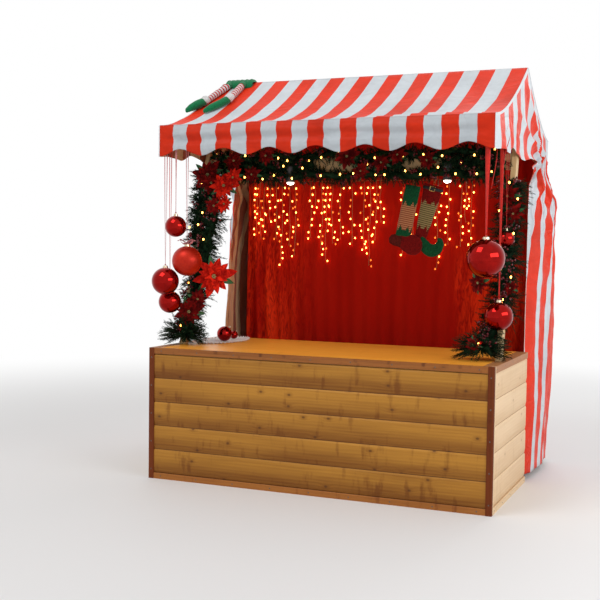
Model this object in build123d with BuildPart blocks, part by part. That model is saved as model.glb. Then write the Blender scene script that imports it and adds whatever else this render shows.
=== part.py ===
from build123d import *
import math
import os

# Wooden market stall: a boarded counter, a frame of posts and rafters on it, a striped tarpaulin
# canopy with scalloped edges, curtains behind, and the trimmings that hang on it.
# Millimetres. The origin is on the ground in the middle of the stall: +X runs along the counter to
# the customer's right, +Y towards the back, +Z up.

os.makedirs("parts", exist_ok=True)

# Overall plan
stall_depth = 1690
front_y = -stall_depth / 2
touch_gap = 0.3

# Counter
counter_width = 2170
counter_depth = 940
counter_height = 820
batten_width = 36
batten_thickness = 24
batten_arris = 2
cladding_thickness = 18
board_count = 5
board_groove = 5
board_lower_bevel = 30
board_upper_bevel = 10
top_trim_height = 38
top_trim_reveal = 3
trim_shadow_gap = 4
plinth_height = 36
side_strip_width = 14
side_rail_thickness = 22
side_rail_reveal = 4
side_top_rail_height = 38
side_bottom_rail_height = 36
cap_strip_width = 48
cap_strip_height = 20
countertop_thickness = 20
leg_section = 45
rail_section = 45
bearer_section = 45
bearer_spacing = 640

# Frame over the counter
post_thickness = 30
post_width = 65
post_foot_y = -500
post_lean = 0.277
beam_thickness = 30
beam_height = 95
beam_bottom_z = 1935
rafter_depth = 60
eave_bar_width = 60
eave_bar_height = 58
ridge_beam_width = 45
ridge_beam_height = 70
rear_post_width = 65
curtain_rail_width = 25
curtain_rail_height = 45
curtain_y = 490

# Canopy
stripe_width = 100
stripe_count = 21
canopy_width = stripe_width * stripe_count
tarp_thickness = 2
eave_setback = 51
eave_z = 2197
ridge_y = 64
ridge_z = 2576
back_eave_y = 821
slope_sag = 110
sag_place = 0.35
valance_bottom_z = 2006
scallop_depth = 41
scallop_pitch = 3 * stripe_width

# Lower edge of the gable ends: distance behind the front eave, and height above the valance's bottom
gable_scallops = ((150, 14), (300, 0), (430, 41), (700, -10), (950, 20))

# Side and back curtains
hem_z = 35
fold_facets = 6
side_tarp_front_y = 110
side_tarp_top_z = 2060
side_tarp_fold = 26
side_tarp_folds = 9
side_tarp_gather_y = 370
side_tarp_gather_z = 1940
side_tarp_flare_height = 420
back_tarp_fold = 10
back_tarp_folds = 21
curtain_fold = 16
curtain_folds = 26
curtain_thickness = 3

# Garlands: two strands along the cross beam, and one thick strand down each front post
beam_strand_radius = 47
beam_strand_inset = 28
beam_strand_heights = (2037, 1913)
beam_strand_lumps = 14
beam_strand_rise = 10
garland_end_room = 80
garland_radius = 72
garland_post_inset = 35
garland_post_lumps = 9
garland_foot_swell = 42
lump_share = 0.17
garland_sides = 8

# Run of each post's garland: height above the counter and distance from the stall's middle
garland_left_run = ((58, 985), (237, 992), (365, 990), (559, 960), (754, 935), (952, 948))
garland_right_run = ((77, 925), (136, 975), (308, 1018), (455, 1025))

# Velvet flowers: place across, height and reach of its petals; on the posts the height is above the counter
petal_count = 6
petal_root_share = 0.45
petal_thickness = 5
flower_stem_radius = 8
flower_root_share = 0.4
flowers_left = ((-815, 450, 125), (-965, 1125, 95), (-895, 1010, 95), (-885, 900, 65), (-960, 215, 95))
flowers_right = ((1040, 935, 80), (1055, 845, 60), (905, 445, 75), (925, 85, 60))
flowers_beam = (
    (-790, 2019, 70), (-558, 2050, 70), (0, 2028, 85), (94, 1930, 65), (225, 1990, 65), (330, 2030, 65),
    (520, 1993, 65),
)

# Balls hung from the front eave bar or the rafters: inset from the canopy's end, distance behind the
# eave, drop below the rafters' seat, radius, and width of the ribbon
eave_balls = (
    ("ball_left_upper", -1, 111, 15, 562, 66, 8),
    ("ball_left_matt", -1, 164, 66, 776, 93, 8),
    ("ball_left_outer", -1, 39, 15, 903, 85, 8),
    ("ball_left_lower", -1, 19, 107, 1037, 71, 8),
    ("ball_right_large", 1, 52, 52, 728, 107, 30),
)

# Balls hung from the rafter close in front of the right post: gap to the post in place of the distance
post_balls = (
    ("ball_right_upper", 1, 14, 6, 618, 50, 8),
    ("ball_right_lower", 1, 14, 8, 1058, 82, 14),
)

# Balls, ribbons and the lace mat
ball_cap_share = 0.17
ball_cap_height = 12
ball_reach = 25
ball_room = 2
ribbon_thickness = 1.5
mat_inset_x = 185
mat_inset_y = 285
mat_width = 290
mat_length = 560
mat_thickness = 3
mat_frill_width = 14
mat_frill_height = 16
counter_balls_lying = ((35, -60, 50), (10, 130, 28))

# Spotlights, stockings and lights
spot_radius = 26
spot_length = 108
spot_bottom_z = 1873
spot_wall = 3
spot_lamp_depth = 12
spot_bracket = 8
spot_left_x = -408
spot_right_x = 633
stocking_width = 96
stocking_leg = 370
stocking_foot_height = 116
stocking_loop = 88
loop_width = 8
loop_inset = 4
stocking_thickness = 24

# The two stockings, one before the other: place of the hook, row, tilt, length and shift of the foot
stocking_pair = ((421, 0, -11, 200, 12), (552, 1, -14, 165, 38))
wire_radius = 1.5
wire_z = 1925
wire_start_x = -1000
wire_length = 1640

# Strands of small lights: place along the wire, and drop
strands = (
    (35, 380), (65, 410), (95, 360), (140, 280), (190, 410), (235, 590), (295, 460), (340, 530),
    (460, 400), (490, 180), (545, 480), (580, 560), (625, 440), (685, 410), (770, 440), (860, 480),
    (905, 590), (950, 420), (980, 290), (1145, 510), (1220, 460), (1390, 600), (1465, 440),
    (1550, 450), (1580, 290), (1625, 430),
)

# Pair of stuffed legs in pointed shoes on the canopy: place across, share of the way up the front
# slope, and radius, from the hip to the toe
elf_leg_outer = (
    (-958, 0.955, 24), (-998, 0.83, 21), (-1021, 0.69, 17), (-1035, 0.655, 23), (-1058, 0.60, 21),
    (-1083, 0.558, 8),
)
elf_leg_inner = (
    (-860, 0.95, 24), (-861, 0.83, 21), (-853, 0.715, 17), (-868, 0.67, 23), (-905, 0.60, 21),
    (-945, 0.53, 8),
)
elf_leg_sides = 12
elf_seat_start_x = -1010
elf_seat_width = 206
elf_seat_thickness = 36
elf_seat_share = 0.93

# Derived places
half_counter = counter_width / 2
counter_back_y = front_y + counter_depth
cladding_back_y = front_y + batten_thickness
cladding_face_y = cladding_back_y - cladding_thickness
deck_bottom_z = counter_height - countertop_thickness
half_canopy = canopy_width / 2
front_eave_y = front_y + eave_setback
post_outer_x = half_canopy - tarp_thickness - touch_gap
post_inner_x = post_outer_x - post_thickness
rafter_seat_z = eave_z - tarp_thickness - eave_bar_height
ridge_seat_z = ridge_z - tarp_thickness - ridge_beam_height
back_face_y = stall_depth / 2


def save(piece, name):
    """Labels a finished piece and writes its file."""
    piece.part.label = name
    export_step(piece.part, f"parts/{name}.step")


def block(low, high):
    """Draws a straight sawn length between two opposite corners, in the piece being built."""
    with BuildSketch(Plane.XY.offset(low[2])) as section:
        with Locations(((low[0] + high[0]) / 2, (low[1] + high[1]) / 2)):
            Rectangle(high[0] - low[0], high[1] - low[1])
    extrude(section.sketch, amount=high[2] - low[2])


def board_profile(bottom, top, face, back):
    """Outline of the boarding from the ground up: each board is bevelled along both long edges.

    face and back are the distances of the boarding's front and back from the sketch's upright axis.
    """
    cover = (top - bottom) / board_count
    inwards = math.copysign(board_groove, back - face)
    outline = [(back, bottom)]
    for index in range(board_count):
        low = bottom + index * cover
        outline.append((face + inwards, low))
        outline.append((face, low + board_lower_bevel))
        outline.append((face, low + cover - board_upper_bevel))
    outline.append((face + inwards, top))
    outline.append((back, top))
    return outline


def roof_line(sag, lift=0.0):
    """Three control points of the tarpaulin's sagging slope, from the front eave up to the ridge."""
    run = ridge_y - front_eave_y
    rise = ridge_z - eave_z
    low = (front_eave_y, eave_z + lift)
    middle = (front_eave_y + sag_place * run, eave_z + sag_place * rise - sag + lift)
    high = (ridge_y, ridge_z + lift)
    return [low, middle, high]


def back_roof_line(sag, lift=0.0):
    """The same for the back slope, from the ridge down to the back eave."""
    run = back_eave_y - ridge_y
    drop = ridge_z - eave_z
    share = 1 - sag_place
    high = (ridge_y, ridge_z + lift)
    middle = (ridge_y + share * run, ridge_z - share * drop - sag + lift)
    low = (back_eave_y, eave_z + lift)
    return [high, middle, low]


# Counter: corner battens, front boarding, top trim and plinth
for side, name in ((-1, "corner_batten_left"), (1, "corner_batten_right")):
    edge = side * half_counter
    with BuildPart() as corner_batten:
        low_x = min(edge, edge - side * batten_width)
        block((low_x, front_y, 0), (low_x + batten_width, cladding_back_y, counter_height))
        front_edges = corner_batten.edges().filter_by(Axis.Z).group_by(Axis.Y)[0]
        chamfer(front_edges, batten_arris)
    save(corner_batten, name)

inner_batten_x = half_counter - batten_width
with BuildPart() as front_cladding:
    with BuildSketch(Plane.YZ.offset(-inner_batten_x)):
        with BuildLine():
            Polyline(
                board_profile(
                    plinth_height,
                    counter_height - top_trim_height - trim_shadow_gap,
                    cladding_face_y,
                    cladding_back_y,
                ),
                close=True,
            )
        make_face()
    extrude(amount=2 * inner_batten_x)
save(front_cladding, "front_cladding")

with BuildPart() as front_top_trim:
    block(
        (-inner_batten_x, front_y + top_trim_reveal, counter_height - top_trim_height),
        (inner_batten_x, cladding_back_y, counter_height),
    )
    chamfer(front_top_trim.edges().filter_by(Axis.X).group_by(Axis.Y)[0], batten_arris)
save(front_top_trim, "front_top_trim")

with BuildPart() as front_plinth:
    block(
        (-inner_batten_x, front_y + top_trim_reveal, 0),
        (inner_batten_x, cladding_back_y, plinth_height),
    )
    chamfer(front_plinth.edges().filter_by(Axis.X).group_by(Axis.Y)[0].sort_by(Axis.Z)[-1], batten_arris)
save(front_plinth, "front_plinth")

# Counter: the two boarded sides with their rails, corner strips and cap strips
side_start_y = cladding_back_y + side_strip_width
for side, name in ((-1, "side_cladding_left"), (1, "side_cladding_right")):
    with BuildPart() as side_cladding:
        with BuildSketch(Plane.XZ.offset(-side_start_y)):
            with BuildLine():
                Polyline(
                    board_profile(
                        side_bottom_rail_height,
                        counter_height - side_top_rail_height,
                        side * (half_counter - side_rail_reveal),
                        side * (half_counter - side_rail_thickness),
                    ),
                    close=True,
                )
            make_face()
        extrude(amount=-(counter_back_y - side_start_y))
    save(side_cladding, name)

with BuildPart() as side_top_rails:
    for side in (-1, 1):
        low_x = min(side * half_counter, side * (half_counter - side_rail_thickness))
        block(
            (low_x, side_start_y, counter_height - side_top_rail_height),
            (low_x + side_rail_thickness, counter_back_y, counter_height),
        )
save(side_top_rails, "side_top_rails")

with BuildPart() as side_bottom_rails:
    for side in (-1, 1):
        low_x = min(side * half_counter, side * (half_counter - side_rail_thickness))
        block(
            (low_x, side_start_y, 0),
            (low_x + side_rail_thickness, counter_back_y, side_bottom_rail_height),
        )
save(side_bottom_rails, "side_bottom_rails")

with BuildPart() as side_corner_strips:
    for side in (-1, 1):
        low_x = min(side * half_counter, side * (half_counter - side_rail_thickness))
        block(
            (low_x, cladding_back_y, 0),
            (low_x + side_rail_thickness, side_start_y, counter_height),
        )
save(side_corner_strips, "side_corner_strips")

cap_outer_x = half_counter - side_rail_thickness
cap_inner_x = cap_outer_x - cap_strip_width
with BuildPart() as side_cap_strips:
    for side in (-1, 1):
        low_x = min(side * cap_outer_x, side * cap_inner_x)
        block(
            (low_x, cladding_back_y, counter_height - cap_strip_height),
            (low_x + cap_strip_width, counter_back_y, counter_height),
        )
save(side_cap_strips, "side_cap_strips")

# Counter: top board and the framing under it
with BuildPart() as countertop:
    block((-cap_inner_x, cladding_back_y, deck_bottom_z), (cap_inner_x, counter_back_y, counter_height))
save(countertop, "countertop")

leg_outer_x = half_counter - side_rail_thickness
with BuildPart() as counter_legs:
    for side in (-1, 1):
        low_x = min(side * leg_outer_x, side * (leg_outer_x - leg_section))
        for leg_y in (cladding_back_y, counter_back_y - leg_section):
            block((low_x, leg_y, 0), (low_x + leg_section, leg_y + leg_section, deck_bottom_z))
save(counter_legs, "counter_legs")

rail_end_x = leg_outer_x - leg_section
with BuildPart() as counter_rails:
    for rail_y in (cladding_back_y, counter_back_y - rail_section):
        for rail_z in (0, deck_bottom_z - rail_section):
            block(
                (-rail_end_x, rail_y, rail_z),
                (rail_end_x, rail_y + rail_section, rail_z + rail_section),
            )
save(counter_rails, "counter_rails")

with BuildPart() as counter_bearers:
    for bearer_x in (-bearer_spacing / 2, bearer_spacing / 2):
        low_x = bearer_x - bearer_section / 2
        block(
            (low_x, cladding_back_y + rail_section, deck_bottom_z - bearer_section),
            (low_x + bearer_section, counter_back_y - rail_section, deck_bottom_z),
        )
save(counter_bearers, "counter_bearers")


# Frame: rafters, and the posts that lean back from the counter to them
def front_rafter_underside(y):
    """Height of the front rafter's lower edge at a distance y."""
    start = front_eave_y + eave_bar_width
    end = ridge_y - ridge_beam_width / 2
    slope = (ridge_seat_z - rafter_seat_z) / (end - start)
    return rafter_seat_z - rafter_depth + slope * (y - start)


def back_rafter_underside(y):
    """Height of the back rafter's lower edge at a distance y."""
    start = ridge_y + ridge_beam_width / 2
    end = back_eave_y - eave_bar_width
    slope = (rafter_seat_z - ridge_seat_z) / (end - start)
    return ridge_seat_z - rafter_depth + slope * (y - start)


with BuildPart() as front_rafters:
    for side in (-1, 1):
        low_x = min(side * post_outer_x, side * post_inner_x)
        with BuildSketch(Plane.YZ.offset(low_x)):
            with BuildLine():
                Polyline(
                    (front_eave_y + tarp_thickness, rafter_seat_z),
                    (front_eave_y + eave_bar_width, rafter_seat_z),
                    (ridge_y - ridge_beam_width / 2, ridge_seat_z),
                    (ridge_y, ridge_seat_z),
                    (ridge_y, ridge_seat_z - rafter_depth),
                    (ridge_y - ridge_beam_width / 2, ridge_seat_z - rafter_depth),
                    (front_eave_y + eave_bar_width, rafter_seat_z - rafter_depth),
                    (front_eave_y + tarp_thickness, rafter_seat_z - rafter_depth / 2),
                    close=True,
                )
            make_face()
        extrude(amount=post_thickness)
save(front_rafters, "front_rafters")

with BuildPart() as back_rafters:
    for side in (-1, 1):
        low_x = min(side * post_outer_x, side * post_inner_x)
        with BuildSketch(Plane.YZ.offset(low_x)):
            with BuildLine():
                Polyline(
                    (back_eave_y - tarp_thickness, rafter_seat_z),
                    (back_eave_y - eave_bar_width, rafter_seat_z),
                    (ridge_y + ridge_beam_width / 2, ridge_seat_z),
                    (ridge_y, ridge_seat_z),
                    (ridge_y, ridge_seat_z - rafter_depth),
                    (ridge_y + ridge_beam_width / 2, ridge_seat_z - rafter_depth),
                    (back_eave_y - eave_bar_width, rafter_seat_z - rafter_depth),
                    (back_eave_y - tarp_thickness, rafter_seat_z - rafter_depth / 2),
                    close=True,
                )
            make_face()
        extrude(amount=post_thickness)
save(back_rafters, "back_rafters")

for side, name in ((-1, "front_post_left"), (1, "front_post_right")):
    low_x = min(side * post_outer_x, side * post_inner_x)
    start = front_eave_y + eave_bar_width
    rafter_slope = (ridge_seat_z - rafter_seat_z) / (ridge_y - ridge_beam_width / 2 - start)

    def post_top(y_foot):
        """Where the leaning edge from y_foot meets the rafter's lower edge."""
        rise = front_rafter_underside(y_foot) - counter_height
        climb = rise / (1 - rafter_slope * post_lean)
        return (y_foot + post_lean * climb, counter_height + climb)

    with BuildPart() as front_post:
        with BuildSketch(Plane.YZ.offset(low_x)):
            with BuildLine():
                Polyline(
                    (post_foot_y - post_width / 2, counter_height),
                    (post_foot_y + post_width / 2, counter_height),
                    post_top(post_foot_y + post_width / 2),
                    post_top(post_foot_y - post_width / 2),
                    close=True,
                )
            make_face()
        extrude(amount=post_thickness)
    save(front_post, name)

rear_post_back_y = back_eave_y - eave_bar_width
rear_post_front_y = rear_post_back_y - rear_post_width
with BuildPart() as rear_posts:
    for side in (-1, 1):
        low_x = min(side * post_outer_x, side * post_inner_x)
        with BuildSketch(Plane.YZ.offset(low_x)):
            with BuildLine():
                Polyline(
                    (rear_post_front_y, 0),
                    (rear_post_back_y, 0),
                    (rear_post_back_y, back_rafter_underside(rear_post_back_y)),
                    (rear_post_front_y, back_rafter_underside(rear_post_front_y)),
                    close=True,
                )
            make_face()
        extrude(amount=post_thickness)
save(rear_posts, "rear_posts")

beam_y = post_foot_y + post_lean * (beam_bottom_z + beam_height / 2 - counter_height)
with BuildPart() as cross_beam:
    block(
        (-post_inner_x, beam_y - beam_thickness / 2, beam_bottom_z),
        (post_inner_x, beam_y + beam_thickness / 2, beam_bottom_z + beam_height),
    )
save(cross_beam, "cross_beam")

bar_end_x = half_canopy - tarp_thickness - touch_gap
with BuildPart() as ridge_beam:
    with BuildSketch(Plane.YZ.offset(-bar_end_x)):
        with BuildLine():
            Polyline(
                (ridge_y - ridge_beam_width / 2, ridge_seat_z),
                (ridge_y + ridge_beam_width / 2, ridge_seat_z),
                (ridge_y + ridge_beam_width / 2, ridge_z - tarp_thickness - ridge_beam_width / 2),
                (ridge_y, ridge_z - tarp_thickness - touch_gap),
                (ridge_y - ridge_beam_width / 2, ridge_z - tarp_thickness - ridge_beam_width / 2),
                close=True,
            )
        make_face()
    extrude(amount=2 * bar_end_x)
save(ridge_beam, "ridge_beam")

bar_top_z = eave_z - tarp_thickness - touch_gap
with BuildPart() as front_eave_bar:
    block(
        (-bar_end_x, front_eave_y + tarp_thickness + touch_gap, rafter_seat_z),
        (bar_end_x, front_eave_y + eave_bar_width, bar_top_z),
    )
save(front_eave_bar, "front_eave_bar")

with BuildPart() as back_eave_bar:
    block(
        (-bar_end_x, back_eave_y - eave_bar_width, rafter_seat_z),
        (bar_end_x, back_eave_y - tarp_thickness - touch_gap, bar_top_z),
    )
save(back_eave_bar, "back_eave_bar")

rail_top_z = back_rafter_underside(curtain_y + curtain_rail_width / 2)
with BuildPart() as curtain_rail:
    block(
        (-bar_end_x, curtain_y - curtain_rail_width / 2, rail_top_z - curtain_rail_height),
        (bar_end_x, curtain_y + curtain_rail_width / 2, rail_top_z),
    )
save(curtain_rail, "curtain_rail")

# Canopy: two sagging slopes, the scalloped front valance and the gable ends
with BuildPart() as canopy_front:
    with BuildSketch(Plane.YZ.offset(-half_canopy)):
        with BuildLine():
            top = Bezier(*roof_line(slope_sag))
            Line(top @ 1, (ridge_y, ridge_z - tarp_thickness))
            under = Bezier(*reversed(roof_line(slope_sag, -tarp_thickness)))
            Line(under @ 1, top @ 0)
        make_face()
    extrude(amount=canopy_width)
save(canopy_front, "canopy_front")

with BuildPart() as canopy_back:
    with BuildSketch(Plane.YZ.offset(-half_canopy)):
        with BuildLine():
            top = Bezier(*back_roof_line(slope_sag))
            Line(top @ 1, (back_eave_y, eave_z - tarp_thickness))
            under = Bezier(*reversed(back_roof_line(slope_sag, -tarp_thickness)))
            Line(under @ 1, top @ 0)
        make_face()
    extrude(amount=canopy_width)
save(canopy_back, "canopy_back")

wave_count = round(canopy_width / scallop_pitch)
half_valance = half_canopy - tarp_thickness
wave_pitch = 2 * half_valance / wave_count
with BuildPart() as front_valance:
    with BuildSketch(Plane.XZ.offset(-front_eave_y)):
        with BuildLine():
            Polyline(
                (half_valance, valance_bottom_z),
                (half_valance, eave_z - tarp_thickness),
                (-half_valance, eave_z - tarp_thickness),
                (-half_valance, valance_bottom_z),
            )
            for half_wave in range(2 * wave_count):
                start_x = -half_valance + half_wave * wave_pitch / 2
                start_z = valance_bottom_z + scallop_depth * (half_wave % 2)
                end_z = valance_bottom_z + scallop_depth * ((half_wave + 1) % 2)
                Spline(
                    (start_x, start_z),
                    (start_x + wave_pitch / 2, end_z),
                    tangents=[(1, 0), (1, 0)],
                )
        make_face()
    extrude(amount=-tarp_thickness)
save(front_valance, "front_valance")

# The gable ends hang from the rake; their lower edge has loose scallops along the front half
gable_edge = [(front_eave_y + tarp_thickness, valance_bottom_z)]
for behind_eave, rise in gable_scallops:
    gable_edge.append((front_eave_y + behind_eave, valance_bottom_z + rise))
gable_edge.append((back_eave_y - tarp_thickness, valance_bottom_z))
for side, name in ((-1, "gable_left"), (1, "gable_right")):
    inner_x = min(side * half_canopy, side * (half_canopy - tarp_thickness))
    with BuildPart() as gable:
        with BuildSketch(Plane.YZ.offset(inner_x)):
            with BuildLine():
                rake = Bezier(*roof_line(slope_sag, -tarp_thickness - touch_gap))
                back_rake = Bezier(*back_roof_line(slope_sag, -tarp_thickness - touch_gap))
                Line(back_rake @ 1, (back_eave_y, valance_bottom_z))
                Line((back_eave_y, valance_bottom_z), gable_edge[-1])
                for (end_y, end_z), (start_y, start_z) in zip(gable_edge[:-1], gable_edge[1:]):
                    Spline((start_y, start_z), (end_y, end_z), tangents=[(-1, 0), (-1, 0)])
                Line(gable_edge[0], (front_eave_y, valance_bottom_z))
                Line((front_eave_y, valance_bottom_z), rake @ 0)
            make_face()
        extrude(amount=tarp_thickness)
    save(gable, name)


def folded_cloth(start, end, centre, fold, count, thickness):
    """Closed outline, seen from above, of hanging cloth that folds to and fro about centre."""
    step = (end - start) / (count * fold_facets)
    steepness = 2 * math.pi * fold * count / (end - start)
    near = []
    far = []
    for index in range(count * fold_facets + 1):
        phase = 2 * math.pi * index / fold_facets
        tilt = math.atan(-steepness * math.sin(phase))
        along = start + index * step
        across = centre + fold * math.cos(phase)
        near.append((along + thickness / 2 * math.sin(tilt), across - thickness / 2 * math.cos(tilt)))
        far.append((along - thickness / 2 * math.sin(tilt), across + thickness / 2 * math.cos(tilt)))
    return near + far[::-1]


# Side tarpaulins: gathered to the back and hanging in folds beside the seller's place
tarp_fold_centre = half_canopy + touch_gap + side_tarp_fold + tarp_thickness / 2
tarp_outline = folded_cloth(
    side_tarp_front_y, back_face_y, tarp_fold_centre, side_tarp_fold, side_tarp_folds, tarp_thickness
)
for side, name in ((-1, "side_tarp_left"), (1, "side_tarp_right")):
    with BuildPart() as side_tarp:
        with BuildSketch(Plane.XY.offset(hem_z)):
            with BuildLine():
                Polyline([(side * across, along) for along, across in tarp_outline], close=True)
            make_face()
        extrude(amount=side_tarp_top_z - hem_z)
        with BuildSketch(Plane.YZ.offset(-counter_width)) as outline:
            with BuildLine():
                Polyline(
                    (side_tarp_front_y, hem_z),
                    (side_tarp_front_y, side_tarp_gather_z - side_tarp_flare_height),
                    (side_tarp_gather_y, side_tarp_gather_z),
                    (side_tarp_gather_y, side_tarp_top_z),
                    (back_face_y, side_tarp_top_z),
                    (back_face_y, hem_z),
                    close=True,
                )
            make_face()
        extrude(outline.sketch, amount=2 * counter_width, mode=Mode.INTERSECT)
    save(side_tarp, name)

# Back tarpaulin: hangs in shallow folds from the back eave
back_fold_centre = back_eave_y + touch_gap + back_tarp_fold + tarp_thickness / 2
with BuildPart() as back_tarp:
    with BuildSketch(Plane.XY.offset(hem_z)):
        with BuildLine():
            Polyline(
                folded_cloth(
                    -half_valance,
                    half_valance,
                    back_fold_centre,
                    back_tarp_fold,
                    back_tarp_folds,
                    tarp_thickness,
                ),
                close=True,
            )
        make_face()
    extrude(amount=eave_z - hem_z)
save(back_tarp, "back_tarp")

# Velvet curtain in front of its rail
curtain_end_x = bar_end_x - touch_gap
curtain_centre_y = curtain_y - curtain_rail_width / 2 - touch_gap - curtain_fold - curtain_thickness / 2
with BuildPart() as back_curtain:
    with BuildSketch(Plane.XY.offset(hem_z)):
        with BuildLine():
            Polyline(
                folded_cloth(
                    -curtain_end_x,
                    curtain_end_x,
                    curtain_centre_y,
                    curtain_fold,
                    curtain_folds,
                    curtain_thickness,
                ),
                close=True,
            )
        make_face()
    extrude(amount=rail_top_z - hem_z)
save(back_curtain, "back_curtain")


def swag(route, radii, direction):
    """Lofts a lumpy garland body through eight-sided rings along a route, in the piece being built."""
    rings = []
    across = (0, 0, 1) if direction.X else (1, 0, 0)
    for place, radius in zip(route, radii):
        with BuildSketch(Plane(origin=place, x_dir=across, z_dir=direction)) as ring:
            RegularPolygon(radius, garland_sides)
        rings.append(ring.sketch.faces()[0])
    loft(rings, ruled=True)


def post_centre_y(z):
    """Distance of the leaning posts' centre line at a height z."""
    return post_foot_y + post_lean * (z - counter_height)


# Places of the hanging balls: name, centre, radius and width of the ribbon
hanging_balls = []
for name, side, inset, behind, drop, radius, ribbon_width in eave_balls:
    centre = (side * (half_canopy - inset), front_eave_y + behind, rafter_seat_z - drop)
    hanging_balls.append((name, centre, radius, ribbon_width))
for name, side, inset, gap, drop, radius, ribbon_width in post_balls:
    ball_z = rafter_seat_z - drop
    lean_room = radius * (math.sqrt(1 + post_lean**2) - 1)
    ball_y = post_centre_y(ball_z) - post_width / 2 - gap - radius - lean_room
    hanging_balls.append((name, (side * (half_canopy - inset), ball_y, ball_z), radius, ribbon_width))

# Garlands: two strands along the cross beam, one thick strand down each front post to the counter
beam_face_y = beam_y - beam_thickness / 2
spot_y = beam_face_y - spot_radius - spot_bracket
strand_end_x = post_inner_x - post_thickness
with BuildPart() as garland_beam:
    for strand_z in beam_strand_heights:
        route = []
        radii = []
        for i in range(beam_strand_lumps + 1):
            x = -strand_end_x + 2 * strand_end_x * i / beam_strand_lumps
            z = strand_z + beam_strand_rise * math.cos(2 * i + strand_z)
            route.append((x, beam_face_y - beam_strand_inset, z))
            radii.append(beam_strand_radius * (1 + lump_share * math.sin(3 * i)))
        swag(route, radii, Vector(1, 0, 0))
    with BuildSketch(Plane.XY) as behind_face:
        with Locations((0, beam_face_y - touch_gap + garland_radius)):
            Rectangle(2 * counter_width, 2 * garland_radius)
    extrude(behind_face.sketch, amount=ridge_z, mode=Mode.SUBTRACT)
    for spot_x in (spot_left_x, spot_right_x):
        with BuildSketch(Plane.XY.offset(spot_bottom_z - garland_radius)) as spot_room:
            with Locations((spot_x, spot_y)):
                Circle(spot_radius + spot_bracket)
            with Locations((spot_x, spot_y + garland_radius)):
                Rectangle(2 * (spot_bracket + touch_gap), 2 * garland_radius)
            with Locations((spot_x, spot_y - garland_radius)):
                Rectangle(2 * (spot_radius + spot_bracket), 2 * garland_radius)
        extrude(spot_room.sketch, amount=garland_radius + spot_length + touch_gap, mode=Mode.SUBTRACT)
save(garland_beam, "garland_beam")

garland_bottom_z = counter_height + mat_frill_height + touch_gap
garland_top_z = min(beam_strand_heights) - garland_end_room
garland_lump_height = (garland_top_z - garland_bottom_z) / garland_post_lumps


def foot_share(z):
    """Share of the thick foot that a post garland has at a height z: all at its end, none two lumps up."""
    return max(0, 1 - (z - garland_bottom_z) / (2 * garland_lump_height))


def run_x(run, z):
    """Distance from the middle that a post's garland keeps at a height z, straight between its stops."""
    x = run[0][1]
    for (low, low_x), (high, high_x) in zip(run, run[1:]):
        x += (high_x - low_x) * min(1, max(0, (z - counter_height - low) / (high - low)))
    return x


post_garlands = {}
for side, name, run in ((-1, "garland_left", garland_left_run), (1, "garland_right", garland_right_run)):
    with BuildPart() as post_garland:
        route = []
        radii = []
        for i in range(garland_post_lumps + 1):
            z = garland_bottom_z + garland_lump_height * i
            route.append((side * run_x(run, z), post_centre_y(z) - garland_post_inset, z))
            lump = garland_radius * (1 + lump_share * math.sin(2 * i + side))
            radii.append(lump + garland_foot_swell * foot_share(z))
        swag(route, radii, Vector(0, 0, 1))
        low_x = min(side * (post_outer_x + touch_gap), side * (post_inner_x - touch_gap))
        with BuildSketch(Plane.YZ.offset(low_x)) as post_room:
            with BuildLine():
                foot_front = post_foot_y - post_width / 2 - touch_gap
                foot_back = post_foot_y + post_width / 2 + garland_radius
                climb = beam_bottom_z
                Polyline(
                    (foot_front, counter_height),
                    (foot_back, counter_height),
                    (foot_back + post_lean * climb, counter_height + climb),
                    (foot_front + post_lean * climb, counter_height + climb),
                    close=True,
                )
            make_face()
        extrude(post_room.sketch, amount=post_thickness + 2 * touch_gap, mode=Mode.SUBTRACT)
        for ball_name, centre, radius, ribbon_width in hanging_balls:
            with Locations(centre):
                Sphere(radius + ball_room, mode=Mode.SUBTRACT)
            ball_x, ball_y, ball_z = centre
            with BuildSketch(Plane.XY.offset(ball_z)) as ribbon_room:
                with Locations((ball_x, ball_y)):
                    Rectangle(ribbon_width + 2 * ball_room, 4 * ball_room)
                    Circle(ball_cap_share * radius + ball_room)
            extrude(ribbon_room.sketch, amount=eave_z - ball_z, mode=Mode.SUBTRACT)
    post_garlands[side] = post_garland.part
    save(post_garland, name)


def flower(place, reach, root):
    """A velvet flower that faces the front, on a stem that ends at root, in the piece being built."""
    tips = []
    for i in range(2 * petal_count):
        share = petal_root_share if i % 2 else 1
        angle = math.pi * i / petal_count
        tips.append((reach * share * math.sin(angle), reach * share * math.cos(angle)))
    with BuildSketch(Plane(origin=place, x_dir=(1, 0, 0), z_dir=(0, -1, 0))) as star:
        with BuildLine():
            Polyline(tips, close=True)
        make_face()
    extrude(star.sketch, amount=petal_thickness)
    stem = Vector(root) - Vector(place)
    with BuildSketch(Plane(origin=place, z_dir=stem)) as stalk:
        RegularPolygon(flower_stem_radius, petal_count)
    extrude(stalk.sketch, amount=stem.length)


# Velvet flowers stuck into the garlands, each stem ending on the garland that carries it
post_flowers = (
    (-1, "poinsettias_left", flowers_left, garland_left_run),
    (1, "poinsettias_right", flowers_right, garland_right_run),
)
for side, name, places, run in post_flowers:
    with BuildPart() as poinsettias:
        for x, height, reach in places:
            z = counter_height + height
            core = Vector(side * run_x(run, z), post_centre_y(z) - garland_post_inset, z)
            garland_front = garland_radius * (1 + lump_share) + garland_foot_swell * foot_share(z)
            place = Vector(x, core.Y - garland_front, z)
            root = core + (place - core).normalized() * garland_radius * flower_root_share
            flower(place, reach, root)
        add(post_garlands[side], mode=Mode.SUBTRACT)
        add(garland_beam.part, mode=Mode.SUBTRACT)
    save(poinsettias, name)

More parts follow.
